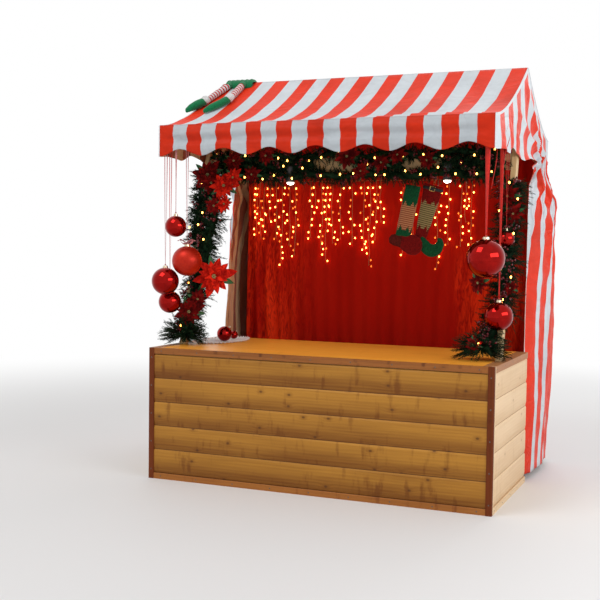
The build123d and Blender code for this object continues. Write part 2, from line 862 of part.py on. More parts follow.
with BuildPart() as poinsettias_beam:
    for x, z, reach in flowers_beam:
        flower_y = beam_face_y - beam_strand_inset - beam_strand_radius * (1 + lump_share)
        flower((x, flower_y, z), reach, (x, flower_y + beam_strand_radius, z))
    add(garland_beam.part, mode=Mode.SUBTRACT)
save(poinsettias_beam, "poinsettias_beam")


def hanging_ball(centre, radius, ribbon_top, ribbon_width, ribbon_y):
    """A blown ball with its cap, hung on a flat ribbon, in the piece being built."""
    x, y, z = centre
    cap_radius = ball_cap_share * radius
    with BuildSketch(Plane(origin=centre, x_dir=(1, 0, 0), z_dir=(0, -1, 0))) as half_ball:
        with BuildLine():
            Line((0, -radius), (0, radius + ball_cap_height))
            Line((0, radius + ball_cap_height), (cap_radius, radius + ball_cap_height))
            rim_height = math.sqrt(radius**2 - cap_radius**2)
            Line((cap_radius, radius + ball_cap_height), (cap_radius, rim_height))
            ThreePointArc((cap_radius, rim_height), (radius, 0), (0, -radius))
        make_face()
    revolve(half_ball.sketch, axis=Axis(centre, (0, 0, 1)))
    foot_z = z + radius + ball_cap_height
    with BuildSketch(Plane.YZ.offset(x - ribbon_width / 2)) as ribbon:
        with BuildLine():
            Polyline(
                (y - ribbon_thickness / 2, foot_z - ribbon_thickness),
                (y + ribbon_thickness / 2, foot_z - ribbon_thickness),
                (ribbon_y + ribbon_thickness / 2, ribbon_top),
                (ribbon_y - ribbon_thickness / 2, ribbon_top),
                close=True,
            )
        make_face()
    extrude(ribbon.sketch, amount=ribbon_width)


# Balls on ribbons: under the front eave bar, or under the rafter where they hang further back
bar_ribbon_top = rafter_seat_z - touch_gap
for name, centre, radius, ribbon_width in hanging_balls:
    bar_back_y = front_eave_y + eave_bar_width
    under_bar = centre[1] < bar_back_y + ball_reach
    ribbon_y = centre[1]
    ribbon_top = front_rafter_underside(centre[1] - ribbon_thickness) - touch_gap
    if under_bar:
        ribbon_y = min(centre[1], bar_back_y - ribbon_thickness)
        ribbon_top = bar_ribbon_top
    with BuildPart() as ball:
        hanging_ball(centre, radius, ribbon_top, ribbon_width, ribbon_y)
    save(ball, name)

# Lace mat on the counter and two balls lying on it
mat_centre = (mat_inset_x - half_counter, counter_back_y - mat_inset_y)
with BuildPart() as lace_mat:
    with BuildSketch(Plane.XY.offset(counter_height)):
        with Locations(mat_centre):
            Ellipse(mat_width / 2, mat_length / 2)
    extrude(amount=mat_thickness)
    with BuildSketch(Plane.XY.offset(counter_height)):
        with Locations(mat_centre):
            Ellipse(mat_width / 2, mat_length / 2)
            Ellipse(mat_width / 2 - mat_frill_width, mat_length / 2 - mat_frill_width, mode=Mode.SUBTRACT)
    extrude(amount=mat_frill_height)
save(lace_mat, "lace_mat")

with BuildPart() as counter_balls:
    for across, along, radius in counter_balls_lying:
        ball_z = counter_height + mat_thickness + radius
        with Locations((mat_centre[0] + across, mat_centre[1] + along, ball_z)):
            Sphere(radius)
save(counter_balls, "counter_balls")

# Two spotlights on the front of the cross beam
with BuildPart() as spotlights:
    for spot_x in (spot_left_x, spot_right_x):
        with BuildSketch(Plane.XY.offset(spot_bottom_z)) as barrel:
            with Locations((spot_x, spot_y)):
                Circle(spot_radius)
        extrude(barrel.sketch, amount=spot_length)
        with BuildSketch(Plane.XY.offset(spot_bottom_z)) as recess:
            with Locations((spot_x, spot_y)):
                Circle(spot_radius - spot_wall)
        extrude(recess.sketch, amount=spot_lamp_depth, mode=Mode.SUBTRACT)
        block(
            (spot_x - spot_bracket, spot_y, spot_bottom_z + spot_length - spot_radius),
            (spot_x + spot_bracket, beam_face_y - touch_gap, spot_bottom_z + spot_length),
        )
save(spotlights, "spotlights")

# Pair of knitted stockings under the cross beam
with BuildPart() as stockings:
    for hook_x, row, tilt, foot_length, foot_shift in stocking_pair:
        lean = math.radians(tilt)
        hook_y = beam_face_y + stocking_thickness / 2 + row * (stocking_thickness + touch_gap)
        hook = Plane(
            origin=(hook_x, hook_y, beam_bottom_z - touch_gap),
            x_dir=(math.cos(lean), 0, math.sin(lean)),
            z_dir=(0, -1, 0),
        )
        heel_z = -stocking_loop - stocking_leg
        with BuildSketch(hook) as outline:
            with Locations((0, -stocking_loop / 2 - loop_inset)):
                Rectangle(loop_width, stocking_loop)
            with Locations((0, heel_z + stocking_leg / 2)):
                Rectangle(stocking_width, stocking_leg)
            with Locations((foot_shift, heel_z)):
                SlotOverall(foot_length, stocking_foot_height)
        extrude(outline.sketch, amount=stocking_thickness / 2, both=True)
save(stockings, "stockings")

# Light wire pinned along the curtain, with its hanging strands
curtain_front_y = curtain_centre_y - curtain_fold - curtain_thickness / 2
wire_y = curtain_front_y - touch_gap - wire_radius
with BuildPart() as light_wire:
    with BuildSketch(Plane.YZ.offset(wire_start_x)):
        with Locations((wire_y, wire_z)):
            RegularPolygon(wire_radius, 6)
    extrude(amount=wire_length)
save(light_wire, "light_wire")

with BuildPart() as light_strands:
    for along, drop in strands:
        with BuildSketch(Plane.XY.offset(wire_z - wire_radius - drop)) as strand:
            with Locations((wire_start_x + along, wire_y)):
                RegularPolygon(wire_radius, 6)
        extrude(strand.sketch, amount=drop)
save(light_strands, "light_strands")


def on_slope(share, lift):
    """Distance and height of a place a given lift above the canopy's front slope."""
    low, middle, high = (Vector(*point) for point in roof_line(slope_sag))
    rest = 1 - share
    place = low * rest**2 + middle * (2 * rest * share) + high * share**2
    tangent = ((middle - low) * rest + (high - middle) * share).normalized()
    return (place.X - lift * tangent.Y, place.Y + lift * tangent.X)


def stuffed_leg(stops):
    """Lofts a leg with its pointed shoe along the canopy, in the piece being built."""
    centres = []
    for x, share, radius in stops:
        y, z = on_slope(share, radius + touch_gap)
        centres.append(Vector(x, y, z))
    rings = []
    for index, (x, share, radius) in enumerate(stops):
        before = centres[max(0, index - 1)]
        after = centres[min(len(stops) - 1, index + 1)]
        with BuildSketch(Plane(origin=centres[index], x_dir=(1, 0, 0), z_dir=after - before)) as ring:
            RegularPolygon(radius, elf_leg_sides)
        rings.append(ring.sketch.faces()[0])
    loft(rings, ruled=True)


# Pair of stuffed elf legs over the ridge, in trousers that are bunched there
with BuildPart() as elf_legs:
    with BuildSketch(Plane.YZ.offset(elf_seat_start_x)) as seat:
        with BuildLine():
            front_point = on_slope(elf_seat_share, touch_gap)
            ridge_point = (ridge_y, ridge_z + touch_gap)
            back_point = (2 * ridge_y - front_point[0], front_point[1])
            Polyline(back_point, ridge_point, front_point)
            ThreePointArc(front_point, (ridge_y, ridge_z + elf_seat_thickness), back_point)
        make_face()
    extrude(seat.sketch, amount=elf_seat_width)
    stuffed_leg(elf_leg_outer)
    stuffed_leg(elf_leg_inner)
save(elf_legs, "elf_legs")
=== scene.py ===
"""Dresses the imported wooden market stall: timber, striped tarpaulin, velvet, garlands and lights."""
from __future__ import annotations

import logging
import math
import random
from collections.abc import Callable, Iterable, Sequence
from dataclasses import dataclass, field
from enum import Enum, IntEnum
from typing import Any

import bpy
from mathutils import Matrix, Vector, noise


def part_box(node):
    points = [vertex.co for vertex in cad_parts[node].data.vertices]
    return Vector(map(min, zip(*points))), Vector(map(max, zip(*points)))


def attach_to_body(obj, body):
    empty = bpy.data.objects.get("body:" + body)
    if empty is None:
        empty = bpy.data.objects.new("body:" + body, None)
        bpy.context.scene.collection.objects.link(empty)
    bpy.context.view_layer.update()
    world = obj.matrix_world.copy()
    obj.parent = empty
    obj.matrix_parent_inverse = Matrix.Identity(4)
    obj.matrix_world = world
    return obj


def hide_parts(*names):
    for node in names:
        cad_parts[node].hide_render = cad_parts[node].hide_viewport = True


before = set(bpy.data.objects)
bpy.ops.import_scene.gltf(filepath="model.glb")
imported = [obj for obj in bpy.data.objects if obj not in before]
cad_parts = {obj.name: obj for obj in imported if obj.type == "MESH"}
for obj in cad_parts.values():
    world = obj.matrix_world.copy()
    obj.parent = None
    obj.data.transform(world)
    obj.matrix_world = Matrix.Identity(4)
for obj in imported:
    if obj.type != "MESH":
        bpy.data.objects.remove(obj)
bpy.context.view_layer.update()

log = logging.getLogger("stall")
Colour = tuple[float, float, float]
Stops = tuple[tuple[float, float], ...]
Triples = tuple[tuple[float, float, float], ...]
Balls = tuple[tuple[Vector, float], ...]
ROOT = "root"
FULL_TURN = 2 * math.pi
UP = Vector((0, 0, 1))
# Sizes in metres that several parts share: the coated cloth's thickness, the counter's height, y of the
# cross beam's front, and where the two spotlights stand.
TARPAULIN = 0.0014
COUNTER_TOP = 0.820
BEAM_FACE = -0.1934
SPOTS_X = (-0.408, 0.633)
SPOTS_Y = -0.2274


class Grain(Enum):
    """Direction in which a board's grain runs."""

    ALONG_X = "x"
    ALONG_Y = "y"
    UPRIGHT = "z"


class Side(Enum):
    """The customer's left or right side of the stall."""

    LEFT = -1
    RIGHT = 1


def mix(low: float, high: float, share: float) -> float:
    """Returns the value at a share of the way from low to high."""
    return low + (high - low) * share


def ease(share: float) -> float:
    """Returns a share from 0 to 1 with soft ends."""
    share = min(1.0, max(0.0, share))
    return share * share * (3 - 2 * share)


def smooth_path(stops: Sequence[Vector], steps: int) -> list[Vector]:
    """Draws a smooth path through points.

    Args:
        stops: The points.
        steps: Points on each stretch between two of them.

    Returns:
        The path's points.
    """
    path = []
    last = len(stops) - 1
    for index in range(last):
        before, start = stops[max(0, index - 1)], stops[index]
        end, after = stops[index + 1], stops[min(last, index + 2)]
        leave, arrive = (end - before) * 0.5, (after - start) * 0.5
        for step in range(steps):
            t = step / steps
            path.append(
                start * (2 * t**3 - 3 * t**2 + 1) + end * (3 * t**2 - 2 * t**3)
                + leave * (t**3 - 2 * t**2 + t) + arrive * (t**3 - t**2)
            )
    path.append(stops[last])
    return path


def ripple(x: float, y: float, seed: float = 0.0) -> float:
    """Returns smooth noise from about -1 to 1 at a place."""
    return noise.noise(Vector((x, y, seed)))


def spread(low: float, high: float, count: int) -> list[float]:
    """Returns evenly spaced values from low to high."""
    return [mix(low, high, index / (count - 1)) for index in range(count)]


def circle(centre: Vector, first: Vector, second: Vector, steps: int) -> list[Vector]:
    """Returns the points once around two radii at right angles, with the start again at the end."""
    turns = [FULL_TURN * step / steps for step in range(steps + 1)]
    return [centre + first * math.cos(turn) + second * math.sin(turn) for turn in turns]


def curve_through(stops: Sequence[tuple[float, float]], at: float) -> float:
    """Reads a soft curve.

    Args:
        stops: Pairs of place and value, in rising order of place.
        at: The place to read.

    Returns:
        The value there, eased between the two nearest stops.
    """
    for (low, start), (high, end) in zip(stops[:-1], stops[1:]):
        if at <= high:
            return mix(start, end, ease((at - low) / (high - low)))
    return stops[-1][1]


class Value:
    """A socket that works in Python expressions: each operator adds a Math node."""

    def __init__(self, sheet: "NodeSheet", socket: bpy.types.NodeSocket) -> None:
        """Wraps a socket of a sheet's tree."""
        self.sheet = sheet
        self.socket = socket

    def __add__(self, other: "Value | float") -> "Value":
        """Returns the sum."""
        return self.sheet.maths("ADD", self, other)

    __radd__ = __add__

    def __sub__(self, other: "Value | float") -> "Value":
        """Returns the difference."""
        return self.sheet.maths("SUBTRACT", self, other)

    def __rsub__(self, other: float) -> "Value":
        """Returns a number less this value."""
        return self.sheet.maths("SUBTRACT", other, self)

    def __mul__(self, other: "Value | float") -> "Value":
        """Returns the product."""
        return self.sheet.maths("MULTIPLY", self, other)

    __rmul__ = __mul__

    def __truediv__(self, other: "Value | float") -> "Value":
        """Returns the quotient."""
        return self.sheet.maths("DIVIDE", self, other)

    def __mod__(self, other: float) -> "Value":
        """Returns the remainder, never below zero."""
        return self.sheet.maths("FLOORED_MODULO", self, other)

    def __gt__(self, other: "Value | float") -> "Value":
        """Returns 1 where this value is greater, else 0."""
        return self.sheet.maths("GREATER_THAN", self, other)

    def __lt__(self, other: "Value | float") -> "Value":
        """Returns 1 where this value is less, else 0."""
        return self.sheet.maths("LESS_THAN", self, other)

    def floor(self) -> "Value":
        """Returns the whole number below."""
        return self.sheet.maths("FLOOR", self)

    def sine(self) -> "Value":
        """Returns the sine."""
        return self.sheet.maths("SINE", self)

    def size(self) -> "Value":
        """Returns the value without its sign."""
        return self.sheet.maths("ABSOLUTE", self)

    def within(self, low: float, high: float) -> "Value":
        """Eases the value.

        Args:
            low: The value that gives 0.
            high: The value that gives 1.

        Returns:
            The share, clamped from 0 to 1.
        """
        inputs = {"Value": self, "From Min": low, "From Max": high}
        node = self.sheet.node("ShaderNodeMapRange", {"interpolation_type": "SMOOTHSTEP"}, inputs)
        return Value(self.sheet, node.outputs["Result"])


class NodeSheet:
    """The nodes of one material or world."""

    def __init__(self, owner: bpy.types.Material | bpy.types.World, output: str) -> None:
        """Empties the owner's tree, but for an output.

        Args:
            owner: The material or world.
            output: The output node's type.
        """
        owner.use_nodes = True
        self.tree = owner.node_tree
        self.tree.nodes.clear()
        self.output = self.node(output)

    def node(
        self, kind: str, settings: dict[str, Any] | None = None, inputs: dict[str | int, Any] | None = None
    ) -> bpy.types.Node:
        """Adds a node.

        Args:
            kind: The node's type.
            settings: Its own settings, set first.
            inputs: Values or links of its sockets, by name or number.

        Returns:
            The node.
        """
        made = self.tree.nodes.new(kind)
        for key, value in (settings or {}).items():
            setattr(made, key, value)
        for key, value in (inputs or {}).items():
            self.feed(made.inputs[key], value)
        return made

    def feed(self, socket: bpy.types.NodeSocket, value: "Value | bpy.types.Node | Colour | float") -> None:
        """Sets a socket.

        Args:
            socket: The socket.
            value: A constant, a value to link, or a node whose first output is linked.
        """
        if isinstance(value, Value):
            self.tree.links.new(value.socket, socket)
        elif isinstance(value, bpy.types.Node):
            self.tree.links.new(value.outputs[0], socket)
        else:
            socket.default_value = (*value, 1) if isinstance(value, tuple) else value

    def show(self, shader: bpy.types.Node) -> None:
        """Leads a shader to the output."""
        self.feed(self.output.inputs["Surface"], shader)

    def mixed(self, share: "Value", first: bpy.types.Node, second: bpy.types.Node) -> bpy.types.Node:
        """Returns a mix of two shaders."""
        return self.node("ShaderNodeMixShader", None, {0: share, 1: first, 2: second})

    def maths(self, operation: str, *terms: "Value | float") -> Value:
        """Returns the result of one Math node."""
        node = self.node("ShaderNodeMath", {"operation": operation}, dict(enumerate(terms)))
        return Value(self, node.outputs[0])

    def place(self) -> tuple[Value, Value, Value]:
        """Returns the place on the surface, in metres, as its three parts."""
        coordinates = self.node("ShaderNodeTexCoord")
        return self.parts(Value(self, coordinates.outputs["Object"]))

    def cut(self) -> tuple[Value, Value, Value]:
        """Returns the place on the flat cloth, in metres, as its three parts."""
        attribute = self.node("ShaderNodeAttribute", {"attribute_name": "cut"})
        return self.parts(Value(self, attribute.outputs["Vector"]))

    def parts(self, vector: Value) -> tuple[Value, Value, Value]:
        """Returns the three parts of a vector."""
        node = self.node("ShaderNodeSeparateXYZ", None, {0: vector})
        return tuple(Value(self, socket) for socket in node.outputs)

    def vector(self, x: "Value | float", y: "Value | float", z: "Value | float") -> Value:
        """Returns a vector of three values."""
        node = self.node("ShaderNodeCombineXYZ", None, {0: x, 1: y, 2: z})
        return Value(self, node.outputs[0])

    def cloud(self, vector: Value, scale: float = 1.0, detail: float = 2.0, warp: float = 0.0) -> Value:
        """Returns noise from 0 to 1."""
        inputs = {"Vector": vector, "Scale": scale, "Detail": detail, "Distortion": warp}
        return Value(self, self.node("ShaderNodeTexNoise", None, inputs).outputs[0])

    def blend(self, share: "Value | float", low: "Value | Colour", high: "Value | Colour") -> Value:
        """Returns a colour between two colours."""
        node = self.node("ShaderNodeMix", {"data_type": "RGBA"}, {0: share, 6: low, 7: high})
        return Value(self, node.outputs[2])


class FinishSheet(NodeSheet):
    """The nodes of one material, around a Principled shader."""

    def __init__(self, name: str) -> None:
        """Starts an empty material with its shader.

        Args:
            name: The finish's name.
        """
        self.material = bpy.data.materials.new(name)
        super().__init__(self.material, "ShaderNodeOutputMaterial")
        self.shader = self.node("ShaderNodeBsdfPrincipled")
        self.show(self.shader)

    def raise_by(self, height: Value, depth: float) -> None:
        """Bumps the surface by a height from 0 to 1, depth metres deep."""
        bump = self.node("ShaderNodeBump", None, {"Height": height, "Distance": depth})
        self.feed(self.shader.inputs["Normal"], bump)

    def set(self, **sockets: "Value | float | Colour") -> bpy.types.Material:
        """Sets the shader's sockets.

        Args:
            **sockets: Values by the sockets' names, in small letters with underscores.

        Returns:
            The material.
        """
        for key, value in sockets.items():
            self.feed(self.shader.inputs[key.replace("_", " ").title().replace("Ior", "IOR")], value)
        return self.material


def dimmed(colour: Colour, share: float) -> Colour:
    """Returns a colour with each part lowered to a share."""
    return tuple(part * share for part in colour)


@dataclass(frozen=True)
class Timber:
    """Planed or stained softwood: streaked boards with resin marks, small knots and dark joint lines, darker
    towards each board's lower edge as painted shade of a rounded face.
    """

    name: str
    light: Colour
    dark: Colour
    knot: Colour
    grain: Grain
    board_base: float = 0.0
    board_cover: float = 10.0
    knots: float = 0.62
    roughness: float = 0.5
    lacquer: float = 0.06
    # How much painted shade each board takes towards its lower edge; above 0 it also draws the dark joint
    # line.
    joint_and_shade: float = 0.0
    resin: float = 0.25

    def make(self) -> bpy.types.Material:
        """Makes the finish.

        Returns:
            Its material.
        """
        sheet = FinishSheet(self.name)
        x, y, z = sheet.place()
        along, across, deep = {"x": (x, z, y), "y": (y, z, x), "z": (z, x, y)}[self.grain.value]
        course = (across - self.board_base) / self.board_cover
        board = course.floor()
        level = course - board
        shift = along + board * 3.71
        broad = sheet.cloud(sheet.vector(shift * 1.3, across * 9, deep * 9), detail=3)
        streak = sheet.cloud(sheet.vector(shift * 2.4, across * 85, deep * 85), detail=4)
        pores = sheet.cloud(sheet.vector(shift * 14, across * 600, deep * 600), detail=2)
        marks = sheet.cloud(sheet.vector(shift * 20, across * 5, deep * 5), detail=3)
        field_inputs = {"Vector": sheet.vector(shift * 4.6, course + deep * 5 + 0.5, 0.0), "Scale": 1.0}
        cells = sheet.node("ShaderNodeTexVoronoi", {"voronoi_dimensions": "2D"}, field_inputs)
        distance = Value(sheet, cells.outputs["Distance"])
        chosen = sheet.parts(Value(sheet, cells.outputs["Color"]))[0] > self.knots
        swell = chosen * (1 - distance.within(0.0, 0.3))
        rings = ((across * 330 + broad * 12 + swell * 5).sine() + 1) * 0.5
        tone = rings * 0.07 + streak * 0.34 + broad * 0.62 + marks.within(0.56, 0.76) * self.resin - 0.06
        board_tone = sheet.cloud(sheet.vector(board * 5.3, 0.5, 0.5), detail=0) - 0.5
        # Painted shade: each board darkens towards its lower edge, as if its rounded face turned away from
        # the light.
        tone = tone + board_tone * 0.5 + (1 - level.within(0.1, 0.75)) * self.joint_and_shade
        wood = sheet.blend(tone.within(0.1, 1.1), self.light, self.dark)
        wood = sheet.blend(chosen * (1 - distance.within(0.03, 0.17)) * 0.40, wood, self.dark)
        wood = sheet.blend(chosen * (1 - distance.within(0.02, 0.065)) * 0.70, wood, self.knot)
        wood = sheet.blend((1 - level.within(0.0, 0.05)) * float(self.joint_and_shade > 0), wood, self.knot)
        sheet.raise_by(rings * 0.2 + streak * 0.4 + pores * 0.3, 0.0005)
        rough = streak * 0.16 + (self.roughness - 0.08)
        return sheet.set(base_color=wood, roughness=rough, coat_weight=self.lacquer, coat_roughness=0.3,
                         specular_ior_level=0.22)


@dataclass(frozen=True)
class StripedTarpaulin:
    """Coated tarpaulin in printed stripes, creased from packing, with painted shade along its creases."""

    name: str
    red: Colour = (0.80, 0.036, 0.008)
    white: Colour = (0.64, 0.69, 0.735)
    stripe: float = 0.1
    wander: float = 0.004
    creases: float = 0.004
    roughness: float = 0.5
    gloss: float = 0.1

    def make(self) -> bpy.types.Material:
        """Makes the finish.

        Returns:
            Its material.
        """
        sheet = FinishSheet(self.name)
        u, v, _ = sheet.cut()
        edge = (sheet.cloud(sheet.vector(u * 5, v * 5, 0.0), detail=2) - 0.5) * (2 * self.wander)
        red = ((u + edge) % (2 * self.stripe)) < self.stripe
        grime = sheet.cloud(sheet.vector(u * 3.1, v * 2.3, 1.7), detail=4)
        crease = sheet.cloud(sheet.vector(u * 3.4, v * 5.2, 4.2), detail=3, warp=0.9)
        cross = sheet.cloud(sheet.vector(u * 9.0, v * 7.0, 7.7), detail=3, warp=1.3)
        sharp = 1 - ((crease - 0.5).size() * 7).within(0.0, 1.0)
        second = 1 - ((cross - 0.5).size() * 9).within(0.0, 1.0)
        threads = ((u * 2600).sine() + (v * 2600).sine()) * 0.25 + 0.5
        colour = sheet.blend(red, self.white, self.red)
        shade = sheet.blend(red, dimmed(self.white, 0.72), dimmed(self.red, 0.62))
        # Darker where grime lies, which is dirt, and along the crease lines (sharp, second), which is painted
        # shade in the creases.
        colour = sheet.blend(grime.within(0.46, 0.8) * 0.55 + sharp * 0.2 + second * 0.12, colour, shade)
        sheet.raise_by(crease * 0.6 + sharp * 0.25 + second * 0.12 + threads * 0.02, self.creases)
        rough = grime * 0.2 + (self.roughness - 0.1)
        return sheet.set(base_color=colour, roughness=rough, specular_ior_level=self.gloss)


@dataclass(frozen=True)
class CrushedVelvet:
    """Velvet whose pile lies in crushed patches."""

    name: str
    low: Colour
    high: Colour
    patch: Colour = (5.0, 1.0, 12.0)
    depth: float = 0.002
    crushed_x: tuple[float, float, float] | None = None

    def make(self) -> bpy.types.Material:
        """Makes the finish.

        Returns:
            Its material.
        """
        sheet = FinishSheet(self.name)
        x, y, z = sheet.place()
        wide, tall, fine = self.patch
        patches = sheet.cloud(sheet.vector(x * wide, y * wide, z * tall), detail=5, warp=0.6)
        crush = sheet.cloud(sheet.vector(x * fine * 4, y * fine * 4, z * fine), detail=5, warp=1.4)
        pile = sheet.cloud(sheet.vector(x * 900, y * 900, z * 900), detail=1)
        share = (patches * 1.0 + crush * 0.5 - 0.25).within(0.28, 0.78)
        shaded: Value | float = 0.0
        if self.crushed_x is not None:
            start, end, right = self.crushed_x
            low_down = 1 - (z + (patches - 0.5) * 0.3).within(1.25, 1.6)
            aside = (x + (patches - 0.5) * 0.12).within(right, right + 0.05) * low_down * 0.75
            crushed = 1 - (x + (patches - 0.5) * 0.5).within(start, end) + aside
            calm = (patches * 0.9 + crush * 0.2 - 0.2).within(0.1, 1.0) * 0.45
            share = calm * (1 - crushed) + (share * 0.9 + 0.1) * crushed
            shaded = crushed * (1 - crush.within(0.36, 0.5)) * 0.5
        colour = sheet.blend(share.within(0.0, 1.0), self.low, self.high)
        colour = sheet.blend(shaded, colour, dimmed(self.low, 0.35))
        sheet.raise_by(crush * 0.8 + pile * 0.1, self.depth)
        return sheet.set(base_color=colour, roughness=0.9 - share * 0.2, specular_ior_level=0.1,
                         sheen_weight=0.12, sheen_roughness=0.4, sheen_tint=self.high)


@dataclass(frozen=True)
class Speckled:
    """A surface whose colour and gloss vary softly, from needles and petals to paint and metal."""

    name: str
    low: Colour
    high: Colour
    roughness: float = 0.5
    spread: float = 0.1
    scale: float = 40.0
    metallic: float = 0.0
    lacquer: float = 0.0
    sheen: float = 0.0
    depth: float = 0.0004
    gloss: float = 0.3

    def make(self) -> bpy.types.Material:
        """Makes the finish.

        Returns:
            Its material.
        """
        sheet = FinishSheet(self.name)
        x, y, z = sheet.place()
        place = sheet.vector(x, y, z)
        broad = sheet.cloud(place, scale=self.scale, detail=3)
        fine = sheet.cloud(place, scale=self.scale * 4, detail=3)
        colour = sheet.blend((broad * 0.7 + fine * 0.3).within(0.32, 0.68), self.low, self.high)
        sheet.raise_by(fine, self.depth)
        rough = (broad - 0.5) * (2 * self.spread) + self.roughness
        return sheet.set(base_color=colour, roughness=rough, metallic=self.metallic, coat_weight=self.lacquer,
                         coat_roughness=0.04, sheen_weight=self.sheen, specular_ior_level=self.gloss)


@dataclass(frozen=True)
class Banded:
    """Cloth or knit with even bands across its length; cut holds the place around and along the piece."""

    name: str
    first: Colour
    second: Colour
    pitch: float
    stitch_size: float = 0.006
    depth: float = 0.0008

    def make(self) -> bpy.types.Material:
        """Makes the finish.

        Returns:
            Its material.
        """
        sheet = FinishSheet(self.name)
        around, along, _ = sheet.cut()
        soft = sheet.cloud(sheet.vector(around * 60, along * 60, 0.0), detail=2) * 0.0015
        band = ((along + soft) % self.pitch) > (self.pitch / 2)
        waves = FULL_TURN / self.stitch_size
        stitch = ((around * waves).sine() * (along * waves).sine()) * 0.5 + 0.5
        colour = sheet.blend(band, self.first, self.second)
        # Painted shade: the hollows between the stitches are darkened.
        stitch_shade = sheet.blend(band, dimmed(self.first, 0.6), dimmed(self.second, 0.6))
        colour = sheet.blend((1 - stitch) * 0.6, colour, stitch_shade)
        sheet.raise_by(stitch, self.depth)
        return sheet.set(base_color=colour, roughness=0.88, sheen_weight=0.3, sheen_roughness=0.5)


@dataclass(frozen=True)
class Glow:
    """The lit face of a lamp or bulb."""

    name: str
    colour: Colour
    strength: float

    def make(self) -> bpy.types.Material:
        """Returns the material."""
        return FinishSheet(self.name).set(base_color=self.colour, roughness=0.3, emission_color=self.colour,
                                          emission_strength=self.strength)


